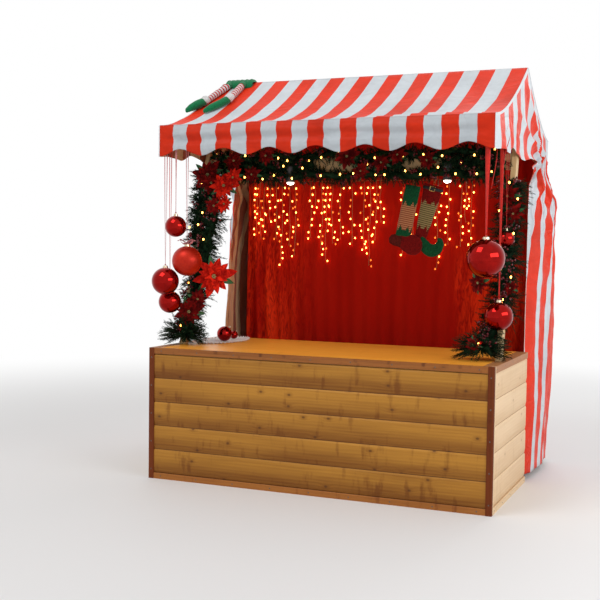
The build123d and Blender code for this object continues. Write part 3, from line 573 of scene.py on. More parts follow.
class Palette:
    """The stall's finishes, each made once when it is first asked for."""

    def __init__(self) -> None:
        """Lists the finishes."""
        self.made: dict[str, bpy.types.Material] = {}
        honey = ((0.51, 0.232, 0.030), (0.18, 0.056, 0.005))
        pale = ((0.84, 0.62, 0.39), (0.66, 0.44, 0.24))
        brown = ((0.18, 0.034, 0.003), (0.070, 0.012, 0.001))
        tan = ((0.46, 0.20, 0.075), (0.25, 0.090, 0.028))
        bare = ((0.74, 0.52, 0.27), (0.48, 0.29, 0.115))
        knot, soft_knot = (0.075, 0.025, 0.006), (0.36, 0.19, 0.08)
        fir = ((0.003, 0.010, 0.004), (0.014, 0.044, 0.019))
        petal = ((30.0, 30.0, 60.0), 0.001)
        felt = (0.95, 0.03, 120)
        finishes = (
            Timber("honey_boards", *honey, knot, Grain.ALONG_X, 0.036, 0.1484, knots=0.28, joint_and_shade=0.38,
                   resin=0.30),
            Timber("pale_boards", *pale, soft_knot, Grain.ALONG_Y, 0.036, 0.1488, knots=0.7, joint_and_shade=0.3),
            Timber("pale_trim", *pale, soft_knot, Grain.ALONG_Y, knots=0.9),
            Timber("tan_trim", *tan, knot, Grain.ALONG_Y, knots=0.8),
            Timber("pale_upright", *pale, soft_knot, Grain.UPRIGHT, knots=0.9),
            Timber("brown_batten", *brown, knot, Grain.UPRIGHT, knots=0.9, roughness=0.62, lacquer=0.0),
            Timber("tan_front", (0.36, 0.125, 0.026), (0.13, 0.036, 0.007), knot, Grain.ALONG_X,
                   0.0, 0.2, knots=0.5, resin=0.6),
            Timber("tan_plinth", (0.44, 0.165, 0.032), (0.20, 0.056, 0.009), knot, Grain.ALONG_X,
                   -0.1, 0.2, knots=0.5, resin=0.4),
            # Painted light: the countertop's colours are raised to stand in for the spotlights' light falling
            # on it.
            Timber("countertop", (1.0, 0.45, 0.055), (0.80, 0.30, 0.022), (0.5, 0.16, 0.01),
                   Grain.ALONG_X, knots=0.97, roughness=0.42, lacquer=0.1),
            Timber("frame_upright", *bare, knot, Grain.UPRIGHT, knots=0.85),
            Timber("frame_long", *bare, knot, Grain.ALONG_X, knots=0.8),
            Timber("frame_deep", *bare, knot, Grain.ALONG_Y, knots=0.8),
            StripedTarpaulin("striped_tarp"),
            # Painted shade: a darker copy of the striped tarp, for the valance hanging in shade.
            StripedTarpaulin("shaded_valance_tarp", (0.58, 0.026, 0.006), (0.46, 0.50, 0.535)),
            StripedTarpaulin("creased_tarp", wander=0.012, creases=0.012, gloss=0.3, roughness=0.42),
            # Painted light: the lining's warm colours stand in for the stripes lit through the cloth from
            # behind.
            StripedTarpaulin("backlit_lining", (0.40, 0.115, 0.065), (0.72, 0.44, 0.24), creases=0.006),
            Speckled("white_piping", (0.62, 0.65, 0.68), (0.72, 0.75, 0.78), 0.5),
            CrushedVelvet("red_velvet", (0.46, 0.006, 0.0012), (1.0, 0.048, 0.006),
                          crushed_x=(-0.95, -0.35, 0.49)),
            CrushedVelvet("petal_velvet", (0.34, 0.004, 0.002), (0.86, 0.022, 0.006), *petal),
            # Painted shade: a darker copy of the petal velvet, for flowers in shade.
            CrushedVelvet("shaded_petal", (0.055, 0.001, 0.001), (0.24, 0.004, 0.003), *petal),
            Speckled("fir_needles", *fir, 0.7, scale=28, gloss=0.05),
            Speckled("fir_stem", (0.02, 0.012, 0.006), (0.06, 0.035, 0.015), 0.8),
            Speckled("leaf_green", (0.01, 0.05, 0.015), (0.03, 0.14, 0.04), 0.5, scale=60),
            Speckled("berries", (0.05, 0.001, 0.004), (0.16, 0.003, 0.008), 0.25, 0.05, lacquer=0.25),
            Speckled("stamens", (0.05, 0.06, 0.015), (0.60, 0.52, 0.22), 0.5, scale=260),
            Speckled("red_gloss", (0.26, 0.002, 0.001), (0.34, 0.004, 0.002), 0.05, 0.02, 12, 0.96, 0.12,
                     depth=0.0),
            Speckled("red_satin", (0.40, 0.012, 0.003), (0.50, 0.020, 0.005), 0.40, 0.05, 20, 0.55,
                     depth=0.0),
            Speckled("ball_cap", (0.55, 0.42, 0.28), (0.80, 0.70, 0.52), 0.25, 0.05, 60, 1.0),
            Speckled("ribbon_red", (0.50, 0.008, 0.004), (0.70, 0.02, 0.008), 0.45, 0.08, 90, sheen=0.1),
            Speckled("ribbon_pale", (0.42, 0.06, 0.07), (0.60, 0.26, 0.27), 0.4, 0.08, 90, sheen=0.2),
            Speckled("lace_white", (0.86, 0.85, 0.84), (0.97, 0.96, 0.95), 0.85, 0.05, 70, sheen=0.3,
                     depth=0.0025),
            Speckled("grey_metal", (0.055, 0.055, 0.058), (0.085, 0.085, 0.088), 0.4, 0.08, 30, 0.3),
            Speckled("screw_steel", (0.10, 0.09, 0.08), (0.22, 0.20, 0.18), 0.35, 0.1, 200, 0.9),
            Speckled("felt_green", (0.002, 0.11, 0.038), (0.006, 0.20, 0.072), *felt, sheen=0.25, gloss=0.1),
            Speckled("dark_green", (0.002, 0.035, 0.012), (0.006, 0.085, 0.028), *felt, sheen=0.1, gloss=0.1),
            Speckled("felt_brown", (0.045, 0.006, 0.004), (0.12, 0.012, 0.008), *felt, gloss=0.1),
            Speckled("fluff_white", (0.62, 0.62, 0.62), (0.86, 0.86, 0.86), 0.95, 0.03, 160, sheen=0.6,
                     depth=0.004),
            Speckled("felt_red", (0.09, 0.002, 0.002), (0.20, 0.005, 0.004), *felt, sheen=0.05, gloss=0.1),
            Speckled("strap_black", (0.008, 0.008, 0.008), (0.02, 0.02, 0.02), 0.5, 0.05, 90),
            Speckled("buckle_gold", (0.50, 0.34, 0.10), (0.72, 0.52, 0.20), 0.25, 0.05, 90, 1.0),
            Speckled("cable", (0.30, 0.10, 0.02), (0.45, 0.20, 0.05), 0.3, 0.05, 90, lacquer=0.5),
            Banded("elf_tights", (0.75, 0.72, 0.72), (0.52, 0.010, 0.014), 0.026),
            Banded("knit_amber", (0.26, 0.035, 0.012), (0.50, 0.22, 0.075), 0.0125),
            Banded("knit_olive", (0.085, 0.050, 0.014), (0.34, 0.25, 0.075), 0.0125),
            Glow("fairy_bulb", (1.0, 0.40, 0.07), 12.0),
            Glow("dim_bulb", (1.0, 0.20, 0.02), 2.2),
            Glow("spot_lens", (1.0, 0.92, 0.78), 9.0),
        )
        self.finishes = {finish.name: finish for finish in finishes}

    def get(self, name: str) -> bpy.types.Material:
        """Finds a finish.

        Args:
            name: Its name.

        Returns:
            Its material.
        """
        if name not in self.made:
            self.made[name] = self.finishes[name].make()
        return self.made[name]


palette = Palette()


class MeshMaker:
    """Gathers the points and faces of one piece."""

    def __init__(self) -> None:
        """Starts with nothing."""
        self.points: list[Vector] = []
        self.cuts: list[tuple[float, float, float]] = []
        self.faces: list[tuple[int, ...]] = []
        self.slots: list[int] = []

    def point(self, place: Vector, cut: tuple[float, float] = (0.0, 0.0)) -> int:
        """Adds a point.

        Args:
            place: Where it is.
            cut: Its place on the flat cloth.

        Returns:
            Its number.
        """
        self.points.append(place)
        self.cuts.append((*cut, 0.0))
        return len(self.points) - 1

    def face(self, corners: Sequence[int], slot: int = 0) -> None:
        """Adds a face."""
        self.faces.append(tuple(corners))
        self.slots.append(slot)

    def skin(self, start: int, rings: int, sides: int, slot: "int | Callable[[int, int], int]" = 0) -> None:
        """Joins rings of points with faces.

        Args:
            start: Number of the first ring's first point.
            rings: How many rings there are.
            sides: Points on each ring.
            slot: The finish to use, or what gives it for a ring and a side.
        """
        for ring in range(rings - 1):
            low, high = start + ring * sides, start + (ring + 1) * sides
            for side in range(sides):
                following = (side + 1) % sides
                shade = slot(ring, side) if callable(slot) else slot
                self.face((low + side, low + following, high + following, high + side), shade)

    def cap(self, start: int, sides: int, slot: int, below: bool = False) -> None:
        """Closes a ring of points; below tells that the piece's first ring is closed."""
        ring = range(start, start + sides)
        self.face(tuple(reversed(ring)) if below else tuple(ring), slot)

    def turned(self, centre: Vector, axes: Sequence[Vector], stops: Stops, sides: int, slot: int = 0) -> int:
        """Adds a turned shape.

        Args:
            centre: Its foot.
            axes: The direction along it and two across it.
            stops: Its heights with their radii.
            sides: Faces around it.
            slot: The finish to use.

        Returns:
            Number of its last ring's first point.
        """
        start = len(self.points)
        along, first, second = axes
        for level, reach in stops:
            for place in circle(centre + along * level, first * reach, second * reach, sides)[:-1]:
                self.point(place)
        self.skin(start, len(stops), sides, slot)
        return start + (len(stops) - 1) * sides

    def grid(
        self,
        columns: int,
        rows: int,
        place: Callable[[float, float], Vector],
        cut: Callable[[float, float], tuple[float, float]] | None = None,
        slot: int = 0,
        closed: bool = False,
    ) -> None:
        """Adds a grid of faces.

        Args:
            columns: Faces across.
            rows: Faces along.
            place: Gives the point at two shares from 0 to 1.
            cut: Gives its place on the flat cloth.
            slot: The finish to use.
            closed: Whether the last column meets the first.
        """
        across = columns if closed else columns + 1
        start = len(self.points)
        for row in range(rows + 1):
            for column in range(across):
                u, v = column / columns, row / rows
                self.point(place(u, v), cut(u, v) if cut else (0.0, 0.0))
        for row in range(rows):
            for column in range(columns):
                right = (column + 1) % across
                low, high = start + row * across, start + (row + 1) * across
                self.face((low + column, low + right, high + right, high + column), slot)

    def tube(
        self,
        path: Sequence[Vector],
        radii: Sequence[float],
        sides: int = 8,
        slot: int = 0,
        flat: float = 1.0,
        flat_along: Vector | None = None,
        capped: bool = True,
    ) -> None:
        """Adds a tube along a path.

        Args:
            path: Its middle line.
            radii: Its radius at each point.
            sides: Faces around it.
            slot: The finish to use.
            flat: Its thickness as a share of its width.
            flat_along: The direction of its width, where it is flat.
            capped: Whether its ends are closed.
        """
        start = len(self.points)
        side = flat_along
        run = 0.0
        for index, centre in enumerate(path):
            before, after = path[max(0, index - 1)], path[min(len(path) - 1, index + 1)]
            heading = (after - before).normalized()
            if side is None:
                side = heading.cross(Vector((0.31, 0.77, 0.55))).normalized()
            side = (side - heading * side.dot(heading)).normalized()
            other = heading.cross(side)
            run += (centre - path[index - 1]).length if index else 0.0
            for step in range(sides):
                angle = FULL_TURN * step / sides
                offset = side * math.cos(angle) + other * (math.sin(angle) * flat)
                self.point(centre + offset * radii[index], (radii[index] * angle, run))
        self.skin(start, len(path), sides, slot)
        if capped:
            self.cap(start, sides, slot, below=True)
            self.cap(start + (len(path) - 1) * sides, sides, slot)

    def ball(
        self,
        centre: Vector,
        radius: float,
        slot: int = 0,
        sides: int = 10,
        rings: int = 6,
        stretch: float = 1.0,
    ) -> None:
        """Adds a ball.

        Args:
            centre: Its middle.
            radius: Its radius.
            slot: The finish to use.
            sides: Faces around it.
            rings: Faces from pole to pole.
            stretch: Its height as a share of its width.
        """
        pole = UP * (radius * stretch)
        top = self.point(centre + pole)
        for ring in range(1, rings):
            tilt = math.pi * ring / rings
            reach, rise = radius * math.sin(tilt), radius * stretch * math.cos(tilt)
            for step in range(sides):
                angle = FULL_TURN * step / sides
                self.point(centre + Vector((reach * math.cos(angle), reach * math.sin(angle), rise)))
        bottom = self.point(centre - pole)
        start, last = top + 1, bottom - sides
        for step in range(sides):
            following = (step + 1) % sides
            self.face((top, start + step, start + following), slot)
            for high in range(start, last, sides):
                low = high + sides
                self.face((high + step, low + step, low + following, high + following), slot)
            self.face((bottom, last + following, last + step), slot)

    def build(self, name: str, finishes: Sequence[str], smooth: bool = True) -> bpy.types.Object:
        """Makes the piece's object.

        Args:
            name: The piece's name.
            finishes: The finishes that the faces' slots stand for.
            smooth: Whether it is shaded smooth.

        Returns:
            The object, at the origin.
        """
        mesh = bpy.data.meshes.new(name)
        mesh.from_pydata(self.points, [], self.faces)
        mesh.polygons.foreach_set("material_index", self.slots)
        mesh.polygons.foreach_set("use_smooth", [smooth] * len(self.faces))
        attribute = mesh.attributes.new("cut", "FLOAT_VECTOR", "POINT")
        attribute.data.foreach_set("vector", [number for cut in self.cuts for number in cut])
        for finish in finishes:
            mesh.materials.append(palette.get(finish))
        made = bpy.data.objects.new(name, mesh)
        bpy.context.scene.collection.objects.link(made)
        return made


def attach(piece: bpy.types.Object, slot: str, *nodes: str) -> bpy.types.Object:
    """Fixes a piece to the stall.

    Args:
        piece: The finished object.
        slot: The record's material slot; not used.
        nodes: The CAD nodes that it stands for.

    Returns:
        The same object.
    """
    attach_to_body(piece, ROOT)
    known = [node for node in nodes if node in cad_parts]
    if known:
        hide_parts(*known)
    log.info("piece %s stands for %s", piece.name, ", ".join(known) or "nothing else")
    return piece


def thicken(piece: bpy.types.Object, thickness: float, offset: float = 0.0, lined: bool = False) -> None:
    """Gives a sheet its thickness.

    Args:
        piece: The sheet's object.
        thickness: How thick it gets, in metres.
        offset: From -1, behind its faces, to 1, before them.
        lined: Whether its back takes the next finish.
    """
    modifier = piece.modifiers.new("thickness", "SOLIDIFY")
    modifier.thickness = thickness
    modifier.offset = offset
    modifier.material_offset = 1 if lined else 0


def lay_tarpaulin(
    maker: MeshMaker, node: str, outer: str, faces_out: bool, offset: float = 0.0
) -> bpy.types.Object:
    """Makes a lined tarpaulin that stands for a node.

    Args:
        maker: The sheet's points and faces.
        node: The node's name.
        outer: The printed side's finish.
        faces_out: Whether the sheet's faces look outwards.
        offset: Where its thickness goes, from -1, behind its faces, to 1, before them.

    Returns:
        The tarpaulin.
    """
    finishes = [outer, "backlit_lining"] if faces_out else ["backlit_lining", outer]
    piece = maker.build(f"{node}_cloth", finishes)
    thicken(piece, TARPAULIN, offset, lined=True)
    return attach(piece, "striped_tarp", node)


def dress(node: str, finish: str) -> None:
    """Gives a node that is carried over its finish.

    Args:
        node: The node's name.
        finish: The finish's name.
    """
    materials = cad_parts[node].data.materials
    materials.clear()
    materials.append(palette.get(finish))
    log.info("node %s wears %s", node, finish)


@dataclass
class PhotoCamera:
    """The camera, at the place and angle that the counter's and canopy's corners give."""

    place: tuple[float, float, float] = (2.3124, -6.4380, 1.4610)
    focal_length: float = 62.587
    film_width: float = 36.0
    right: tuple[float, float, float] = (0.919831, 0.392099, 0.013031)
    down: tuple[float, float, float] = (0.032101, -0.042119, -0.998597)
    forward: tuple[float, float, float] = (-0.391000, 0.918958, -0.051329)

    def build(self) -> None:
        """Adds the camera and makes it the scene's."""
        data = bpy.data.cameras.new("camera")
        data.lens = self.focal_length
        data.sensor_width = self.film_width
        data.clip_end = 200
        camera = bpy.data.objects.new("camera", data)
        bpy.context.scene.collection.objects.link(camera)
        columns = (Vector(self.right), -Vector(self.down), -Vector(self.forward))
        turn = Matrix(columns).transposed().to_4x4()
        camera.matrix_world = Matrix.Translation(self.place) @ turn
        bpy.context.scene.camera = camera
        log.info("camera at %s", self.place)


@dataclass
class Studio:
    """Pale floor, white surroundings and soft plain light."""

    floor_size: float = 60.0
    near: float = 2.6
    far: float = 7.5
    world_light: float = 0.58
    shades: Colour = (0.80, 0.80, 0.81)
    # name, place, aim, width and height, and power
    lamps: tuple[tuple[str, Colour, Colour, tuple[float, float], float], ...] = (
        ("key", (-1.8, -4.0, 6.2), (0.0, 0.0, 1.2), (3.2, 3.2), 135.0),
        ("fill", (5.2, -2.4, 2.9), (0.0, 0.0, 1.2), (4.6, 1.7), 118.0),
        ("back", (0.5, 4.4, 4.2), (0.0, 0.0, 1.5), (3.0, 3.0), 70.0),
    )

    def build(self) -> None:
        """Adds the floor, the world and the lamps."""
        self.build_floor()
        self.build_world()
        for name, place, aim, (wide, high), power in self.lamps:
            data = bpy.data.lights.new(name, "AREA")
            data.shape, data.size, data.size_y, data.energy = "RECTANGLE", wide, high, power
            lamp = bpy.data.objects.new(name, data)
            lamp.location = place
            lamp.rotation_euler = (Vector(aim) - Vector(place)).to_track_quat("-Z", "Y").to_euler()
            bpy.context.scene.collection.objects.link(lamp)
        bpy.context.scene.view_settings.view_transform = "Standard"
        log.info("studio with %d lamps", len(self.lamps))

    def build_floor(self) -> None:
        """Adds the pale floor, which turns into the white surroundings far from the stall."""
        maker = MeshMaker()
        half = self.floor_size / 2
        maker.grid(1, 1, lambda u, v: Vector((mix(-half, half, u), mix(-half, half, v), 0.0)))
        floor = maker.build("floor", ())
        sheet = FinishSheet("pale_floor")
        x, y, z = sheet.place()
        soft = sheet.cloud(sheet.vector(x, y, z), scale=1.3, detail=2)
        sheet.set(base_color=sheet.blend(soft * 0.2, self.shades, (0.84, 0.84, 0.84)), roughness=0.7)
        white = sheet.node("ShaderNodeEmission", None, {"Color": (1.0, 1.0, 1.0), "Strength": 1.0})
        distance = sheet.maths("SQRT", x * x + y * y)
        sheet.show(sheet.mixed(distance.within(self.near, self.far), sheet.shader, white))
        floor.data.materials.append(sheet.material)

    def build_world(self) -> None:
        """Gives soft even light, and white where the camera, gloss or glass sees past the floor."""
        world = bpy.data.worlds.new("surroundings")
        bpy.context.scene.world = world
        sheet = NodeSheet(world, "ShaderNodeOutputWorld")
        path = sheet.node("ShaderNodeLightPath")
        seen: Value | float = 0.0
        for kind in ("Camera", "Glossy", "Transmission"):
            seen = sheet.maths("MAXIMUM", seen, Value(sheet, path.outputs[f"Is {kind} Ray"]))
        even = {"Color": (1.0, 0.985, 0.96), "Strength": self.world_light}
        soft = sheet.node("ShaderNodeBackground", None, even)
        white = sheet.node("ShaderNodeBackground", None, {"Color": (1.0, 1.0, 1.0), "Strength": 1.0})
        sheet.show(sheet.mixed(seen, soft, white))


@dataclass
class LightString:
    """Light wire pinned along the curtain, with hanging strands of small warm bulbs."""

    start_x: float = -1.0
    length: float = 1.64
    y: float = 0.4404
    z: float = 1.925
    diameter: float = 0.003
    # distance along the wire, and length
    strands: Stops = (
        (0.035, 0.38), (0.065, 0.41), (0.095, 0.36), (0.140, 0.28), (0.190, 0.41), (0.235, 0.59),
        (0.295, 0.46), (0.340, 0.53), (0.460, 0.40), (0.490, 0.18), (0.545, 0.48), (0.580, 0.56),
        (0.625, 0.44), (0.685, 0.41), (0.770, 0.44), (0.860, 0.48), (0.905, 0.59), (0.950, 0.42),
        (0.980, 0.29), (1.145, 0.51), (1.220, 0.46), (1.390, 0.60), (1.465, 0.44), (1.550, 0.45),
        (1.580, 0.29), (1.625, 0.43),
    )
    bulb_radius: float = 0.0047
    bulb_spacing: float = 0.042
    dim_share: float = 0.28
    sway: float = 0.008
    rng: random.Random = field(default_factory=lambda: random.Random(11))

    def cord(self, name: str, points: Sequence[Vector]) -> bpy.types.Object:
        """Makes a cable as one smooth open spline.

        Args:
            name: The piece's name.
            points: Its control points.

        Returns:
            The cable.
        """
        data = bpy.data.curves.new(name, "CURVE")
        data.dimensions = "3D"
        data.bevel_depth = self.diameter / 2
        data.bevel_resolution = 2
        data.resolution_u = 6
        spline = data.splines.new("NURBS")
        spline.points.add(len(points) - 1)
        for control, place in zip(spline.points, points):
            control.co = (*place, 1)
        spline.order_u = 3
        spline.use_endpoint_u = True
        data.materials.append(palette.get("cable"))
        made = bpy.data.objects.new(name, data)
        bpy.context.scene.collection.objects.link(made)
        return made

    def build(self) -> None:
        """Adds the wire, then each strand with its bulbs."""
        spans = 14
        points = [
            Vector((self.start_x + self.length * i / spans, self.y, self.z - (0.005 if i % 2 else 0.0)))
            for i in range(spans + 1)
        ]
        wire = attach(self.cord("light_wire_cable", points), "light_cable", "light_wire")
        ends = MeshMaker()
        for place, way in ((points[0], 1), (points[-1], -1)):
            ends.tube([place, place + Vector((0.016 * way, 0, 0))], [0.0028, 0.0028])
        caps = attach(ends.build("light_wire_ends", ["strap_black"]), "light_cable")
        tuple(points[0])
        for index, (along, drop) in enumerate(self.strands):
            self.build_strand(index, along, drop)

    def build_strand(self, index: int, along: float, drop: float) -> None:
        """Adds one strand with its bulbs.

        Args:
            index: Its number, from the left.
            along: Its distance from the wire's start.
            drop: Its length.
        """
        x = self.start_x + along
        top = self.z - self.diameter / 2
        count = max(5, round(drop / 0.075))
        points = [Vector((x, self.y, top))]
        for i in range(1, count + 1):
            swing = self.rng.uniform(-self.sway, self.sway)
            points.append(Vector((x + swing, self.y, top - drop * i / count)))
        strand = attach(self.cord(f"light_strand_{index + 1:02d}", points), "light_cable", "light_strands")
        maker = MeshMaker()
        bulbs = int(drop / self.bulb_spacing)
        swings = [(i / count, point.x - x) for i, point in enumerate(points)]
        for i in range(bulbs):
            share = (i + 0.8) / bulbs
            at = points[0].lerp(points[-1], share)
            at.x = x + curve_through(swings, share)
            way = self.rng.choice((-1, 1))
            reach = self.rng.uniform(0.006, 0.026)
            tip = at + Vector((way * reach, -self.rng.uniform(0.001, 0.006), -self.rng.uniform(0.0, 0.008)))
            maker.tube([at, tip], [0.0008, 0.0008], 4, 1)
            maker.tube([tip + UP * 0.004, tip - UP * 0.004], [0.0022, 0.0026], 6, 1)
            slot = 2 if self.rng.random() < self.dim_share else 0
            maker.ball(tip - UP * 0.008, self.bulb_radius, slot, 8, 6, 1.35)
        finishes = ["fairy_bulb", "cable", "dim_bulb"]
        lights = attach(maker.build(f"light_bulbs_{index + 1:02d}", finishes), "light_cable")
        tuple(points[0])


@dataclass
class Canopy:
    """The striped tarpaulin roof: two sagging slopes, scalloped valance, gable ends and piping."""

    width: float = 2.1
    eave_y: float = -0.794
    eave_z: float = 2.197
    ridge_y: float = 0.064
    ridge_z: float = 2.576
    back_eave_y: float = 0.821
    sag: float = 0.110
    sag_place: float = 0.35
    valance_bottom: float = 2.006
    scallop_depth: float = 0.041
    scallop_pitch: float = 0.3
    piping_radius: float = 0.0035
    # y and z where each gable's cloth is tied
    tie: tuple[float, float] = (0.46, 1.99)
    # x, width, share up, its rise across, height and depth
    rolls: tuple[tuple[float, ...], ...] = (
        (0.62, 0.30, 0.13, 0.10, 0.045, 0.016), (-0.38, 0.22, 0.10, 0.0, 0.05, 0.006),
    )
    gable_columns: int = 190
    hem_rows: int = 4
    # share down, and distance out
    valance_hang: Stops = (
        (0.0, 0.004), (0.10, -0.010), (0.26, -0.018), (0.50, 0.006), (0.66, -0.012), (0.76, -0.010),
        (1.0, 0.008),
    )
    # y and z of the lower edge
    gable_edge: Stops = (
        (-0.794, 2.006), (-0.644, 2.016), (-0.496, 2.004), (-0.364, 2.046), (-0.09, 1.996),
        (0.15, 2.026), (0.375, 1.952), (0.60, 2.004), (0.821, 2.006),
    )

    def slope(self, front: bool, share: float) -> tuple[float, float, float]:
        """Follows a slope from the eave up.

        Args:
            front: Whether it is the front slope.
            share: Share of the way up.

        Returns:
            y, z and the length run from the eave.
        """
        low_y = self.eave_y if front else self.back_eave_y
        run, rise = self.ridge_y - low_y, self.ridge_z - self.eave_z
        bend_y, bend_z = low_y + self.sag_place * run, self.eave_z + self.sag_place * rise - self.sag
        first, second, third = (1 - share) ** 2, 2 * share * (1 - share), share * share
        y = first * low_y + second * bend_y + third * self.ridge_y
        z = first * self.eave_z + second * bend_z + third * self.ridge_z
        return y, z, share * math.hypot(run, rise + self.sag * 0.4)

    def height_at(self, y: float) -> float:
        """Finds how high the slopes are.

        Args:
            y: A place from front to back.

        Returns:
            The height there.
        """
        front = y <= self.ridge_y
        low, high = 0.0, 1.0
        for _ in range(30):
            middle = (low + high) / 2
            reached = self.slope(front, middle)[0]
            if (reached < y) == front:
                low = middle
            else:
                high = middle
        return self.slope(front, low)[1]

    def slope_point(self, front: bool, u: float, v: float) -> Vector:
        """Finds a point of a slope's cloth.

        Args:
            front: Whether it is the front slope.
            u: Share across.
            v: Share up.

        Returns:
            The point.
        """
        x = mix(-self.width / 2, self.width / 2, u)
        y, z, _ = self.slope(front, v)
        middle = math.sin(math.pi * v)
        loose = math.sin(math.pi * u) ** 0.5 * middle
        broad = 0.010 * ripple(x * 2.1, v * 1.6, 3.0 if front else 8.0)
        buckle = broad + 0.0035 * ripple(x * 7 + v * 5, v * 6, 5.0)
        corner = 0.006 * math.sin(x * 9 + v * 14) * max(0.0, abs(u - 0.5) * 2 - 0.55) * middle
        roll = 0.0
        if front:
            for at, wide, level, rise, tall, high in self.rolls:
                tilted = v - level - rise * (x - at)
                roll += high * math.exp(-(((x - at) / wide) ** 2) - (tilted / tall) ** 2)
        return Vector((x, y, z + (buckle - 0.006) * loose + corner + roll))

    def build(self) -> None:
        """Adds the cloth of the roof."""
        for front, name in ((True, "canopy_front"), (False, "canopy_back")):
            maker = MeshMaker()
            length = self.slope(front, 1.0)[2]
            maker.grid(168, 56, lambda u, v, f=front: self.slope_point(f, u, v),
                       lambda u, v, n=length: (u * self.width, v * n))
            piece = lay_tarpaulin(maker, name, "striped_tarp", front, 1.0 if front else -1.0)
        self.build_valance()
        for side in Side:
            self.build_gable(side)
        self.build_piping()

    def valance_point(self, u: float, v: float) -> Vector:
        """Finds a point of the valance.

        Args:
            u: Share across.
            v: Share down.

        Returns:
            The point.
        """
        x = mix(-self.width / 2 + 0.001, self.width / 2 - 0.001, u)
        phase = FULL_TURN * (x + self.width / 2) / self.scallop_pitch
        low = self.valance_bottom + self.scallop_depth * (0.5 - 0.5 * math.cos(phase))
        z = mix(self.eave_z - 0.001, low, v)
        drop = self.eave_z - z
        held = min(1.0, (0.5 - abs(u - 0.5)) * 14)
        swing = 0.020 * drop / 0.19 * math.sin(phase * 0.5 + 1.1 + ripple(x * 1.3, 0.0, 2.0) * 1.6)
        dent = 0.005 * ripple(x * 2.4, z * 9, 6.0) * ease(drop * 12)
        level = (drop + 0.012 * ripple(x * 1.7, 0.0, 5.0)) / (self.eave_z - self.valance_bottom)
        hang = curve_through(self.valance_hang, level) * (0.75 + 0.4 * ripple(x * 1.9, 3.0, 1.0))
        y = self.eave_y - 0.001 + (swing * 0.5 + dent - 0.005 + hang) * held
        return Vector((x, min(y, self.eave_y - 0.0008), z))

    def build_valance(self) -> None:
        """Adds the scalloped valance."""
        maker = MeshMaker()
        drop = self.eave_z - self.valance_bottom
        maker.grid(336, 26, self.valance_point, lambda u, v: (u * self.width, v * drop))
        piece = lay_tarpaulin(maker, "front_valance", "shaded_valance_tarp", False)

    def gable_point(self, side: Side, u: float, v: float) -> Vector:
        """Finds a point of a gable's cloth, which is gathered towards its tie.

        Args:
            side: The gable's side.
            u: Share back.
            v: Share down.

        Returns:
            The point.
        """
        y = mix(self.eave_y, self.back_eave_y, u)
        top, low = self.height_at(y) - 0.002, curve_through(self.gable_edge, y)
        z = mix(top, low, v)
        drop = top - z
        held = min(1.0, (0.5 - abs(u - 0.5)) * 12)
        gather = math.exp(-(((y - 0.375) / 0.20) ** 2)) * ease(v)
        folds = 0.009 * math.sin(y * 46 + 2.2 * math.sin(z * 5)) * (0.25 + gather) * ease(drop * 4)
        slack = 0.016 * ripple(y * 4.2, z * 3.1, 4.0 + side.value) * ease(drop * 3)
        tie_y, tie_z = self.tie
        away = math.hypot(y - tie_y, z - tie_z)
        turn = math.atan2(z - tie_z, tie_y - y)
        ridge = (1 - abs(math.sin(7.5 * turn + 1.6 * ripple(y * 1.5, z * 2, 1.0)))) ** 1.6
        pulled = 1.0 if y < tie_y else 0.55
        tied = 0.050 * (ridge - 0.25) * math.exp(-away / 0.55) * ease(away * 5) * ease(drop * 5) * pulled
        fine = 0.004 * ripple(y * 24, z * 17, 8.0)
        crumple = 0.010 * abs(ripple(y * 10 + z * 5, z * 7 - y * 4, 5.0)) + fine
        out = (folds + slack + tied + crumple * ease(drop * 6) + 0.012 * ease(v)) * held
        x = side.value * (self.width / 2 - 0.001 + max(-0.0005, out))
        return Vector((x, y + 0.02 * gather * (0.375 - y), z))

    def build_gable(self, side: Side) -> None:
        """Adds the loose cloth of one gable end, white along its rake.

        Args:
            side: The gable's side.
        """
        maker = MeshMaker()
        span = self.back_eave_y - self.eave_y
        maker.grid(self.gable_columns, 70, lambda u, v: self.gable_point(side, u, v),
                   lambda u, v: (u * span * 0.92 + 0.105, self.gable_point(side, u, v).z))
        faces_out = side is Side.LEFT
        piece = lay_tarpaulin(maker, f"gable_{side.name.lower()}", "creased_tarp", faces_out)
        for finish in ("white_piping", "backlit_lining") if faces_out else ("white_piping",):
            piece.data.materials.append(palette.get(finish))
        for polygon in piece.data.polygons[:self.gable_columns * self.hem_rows]:
            polygon.material_index = 2 if faces_out else 1

    def build_piping(self) -> None:
        """Adds the white piping along the rakes and the valance's ends."""
        maker = MeshMaker()
        up = spread(0.0, 1.0, 15)
        steps = [(True, share) for share in up] + [(False, share) for share in reversed(up)]
        for side in Side:
            x = side.value * (self.width / 2 + 0.0005)
            rake = [Vector((x, *self.slope(front, share)[:2])) for front, share in steps]
            end = Vector((side.value * 0.001, -0.001, 0))
            u = float(side is Side.RIGHT)
            hang = [self.valance_point(u, share) + end for share in spread(0.0, 1.0, 9)]
            for path in (rake, hang):
                maker.tube(path, [self.piping_radius] * len(path), 6)
        attach(maker.build("canopy_piping", ["white_piping"]), "striped_tarp")


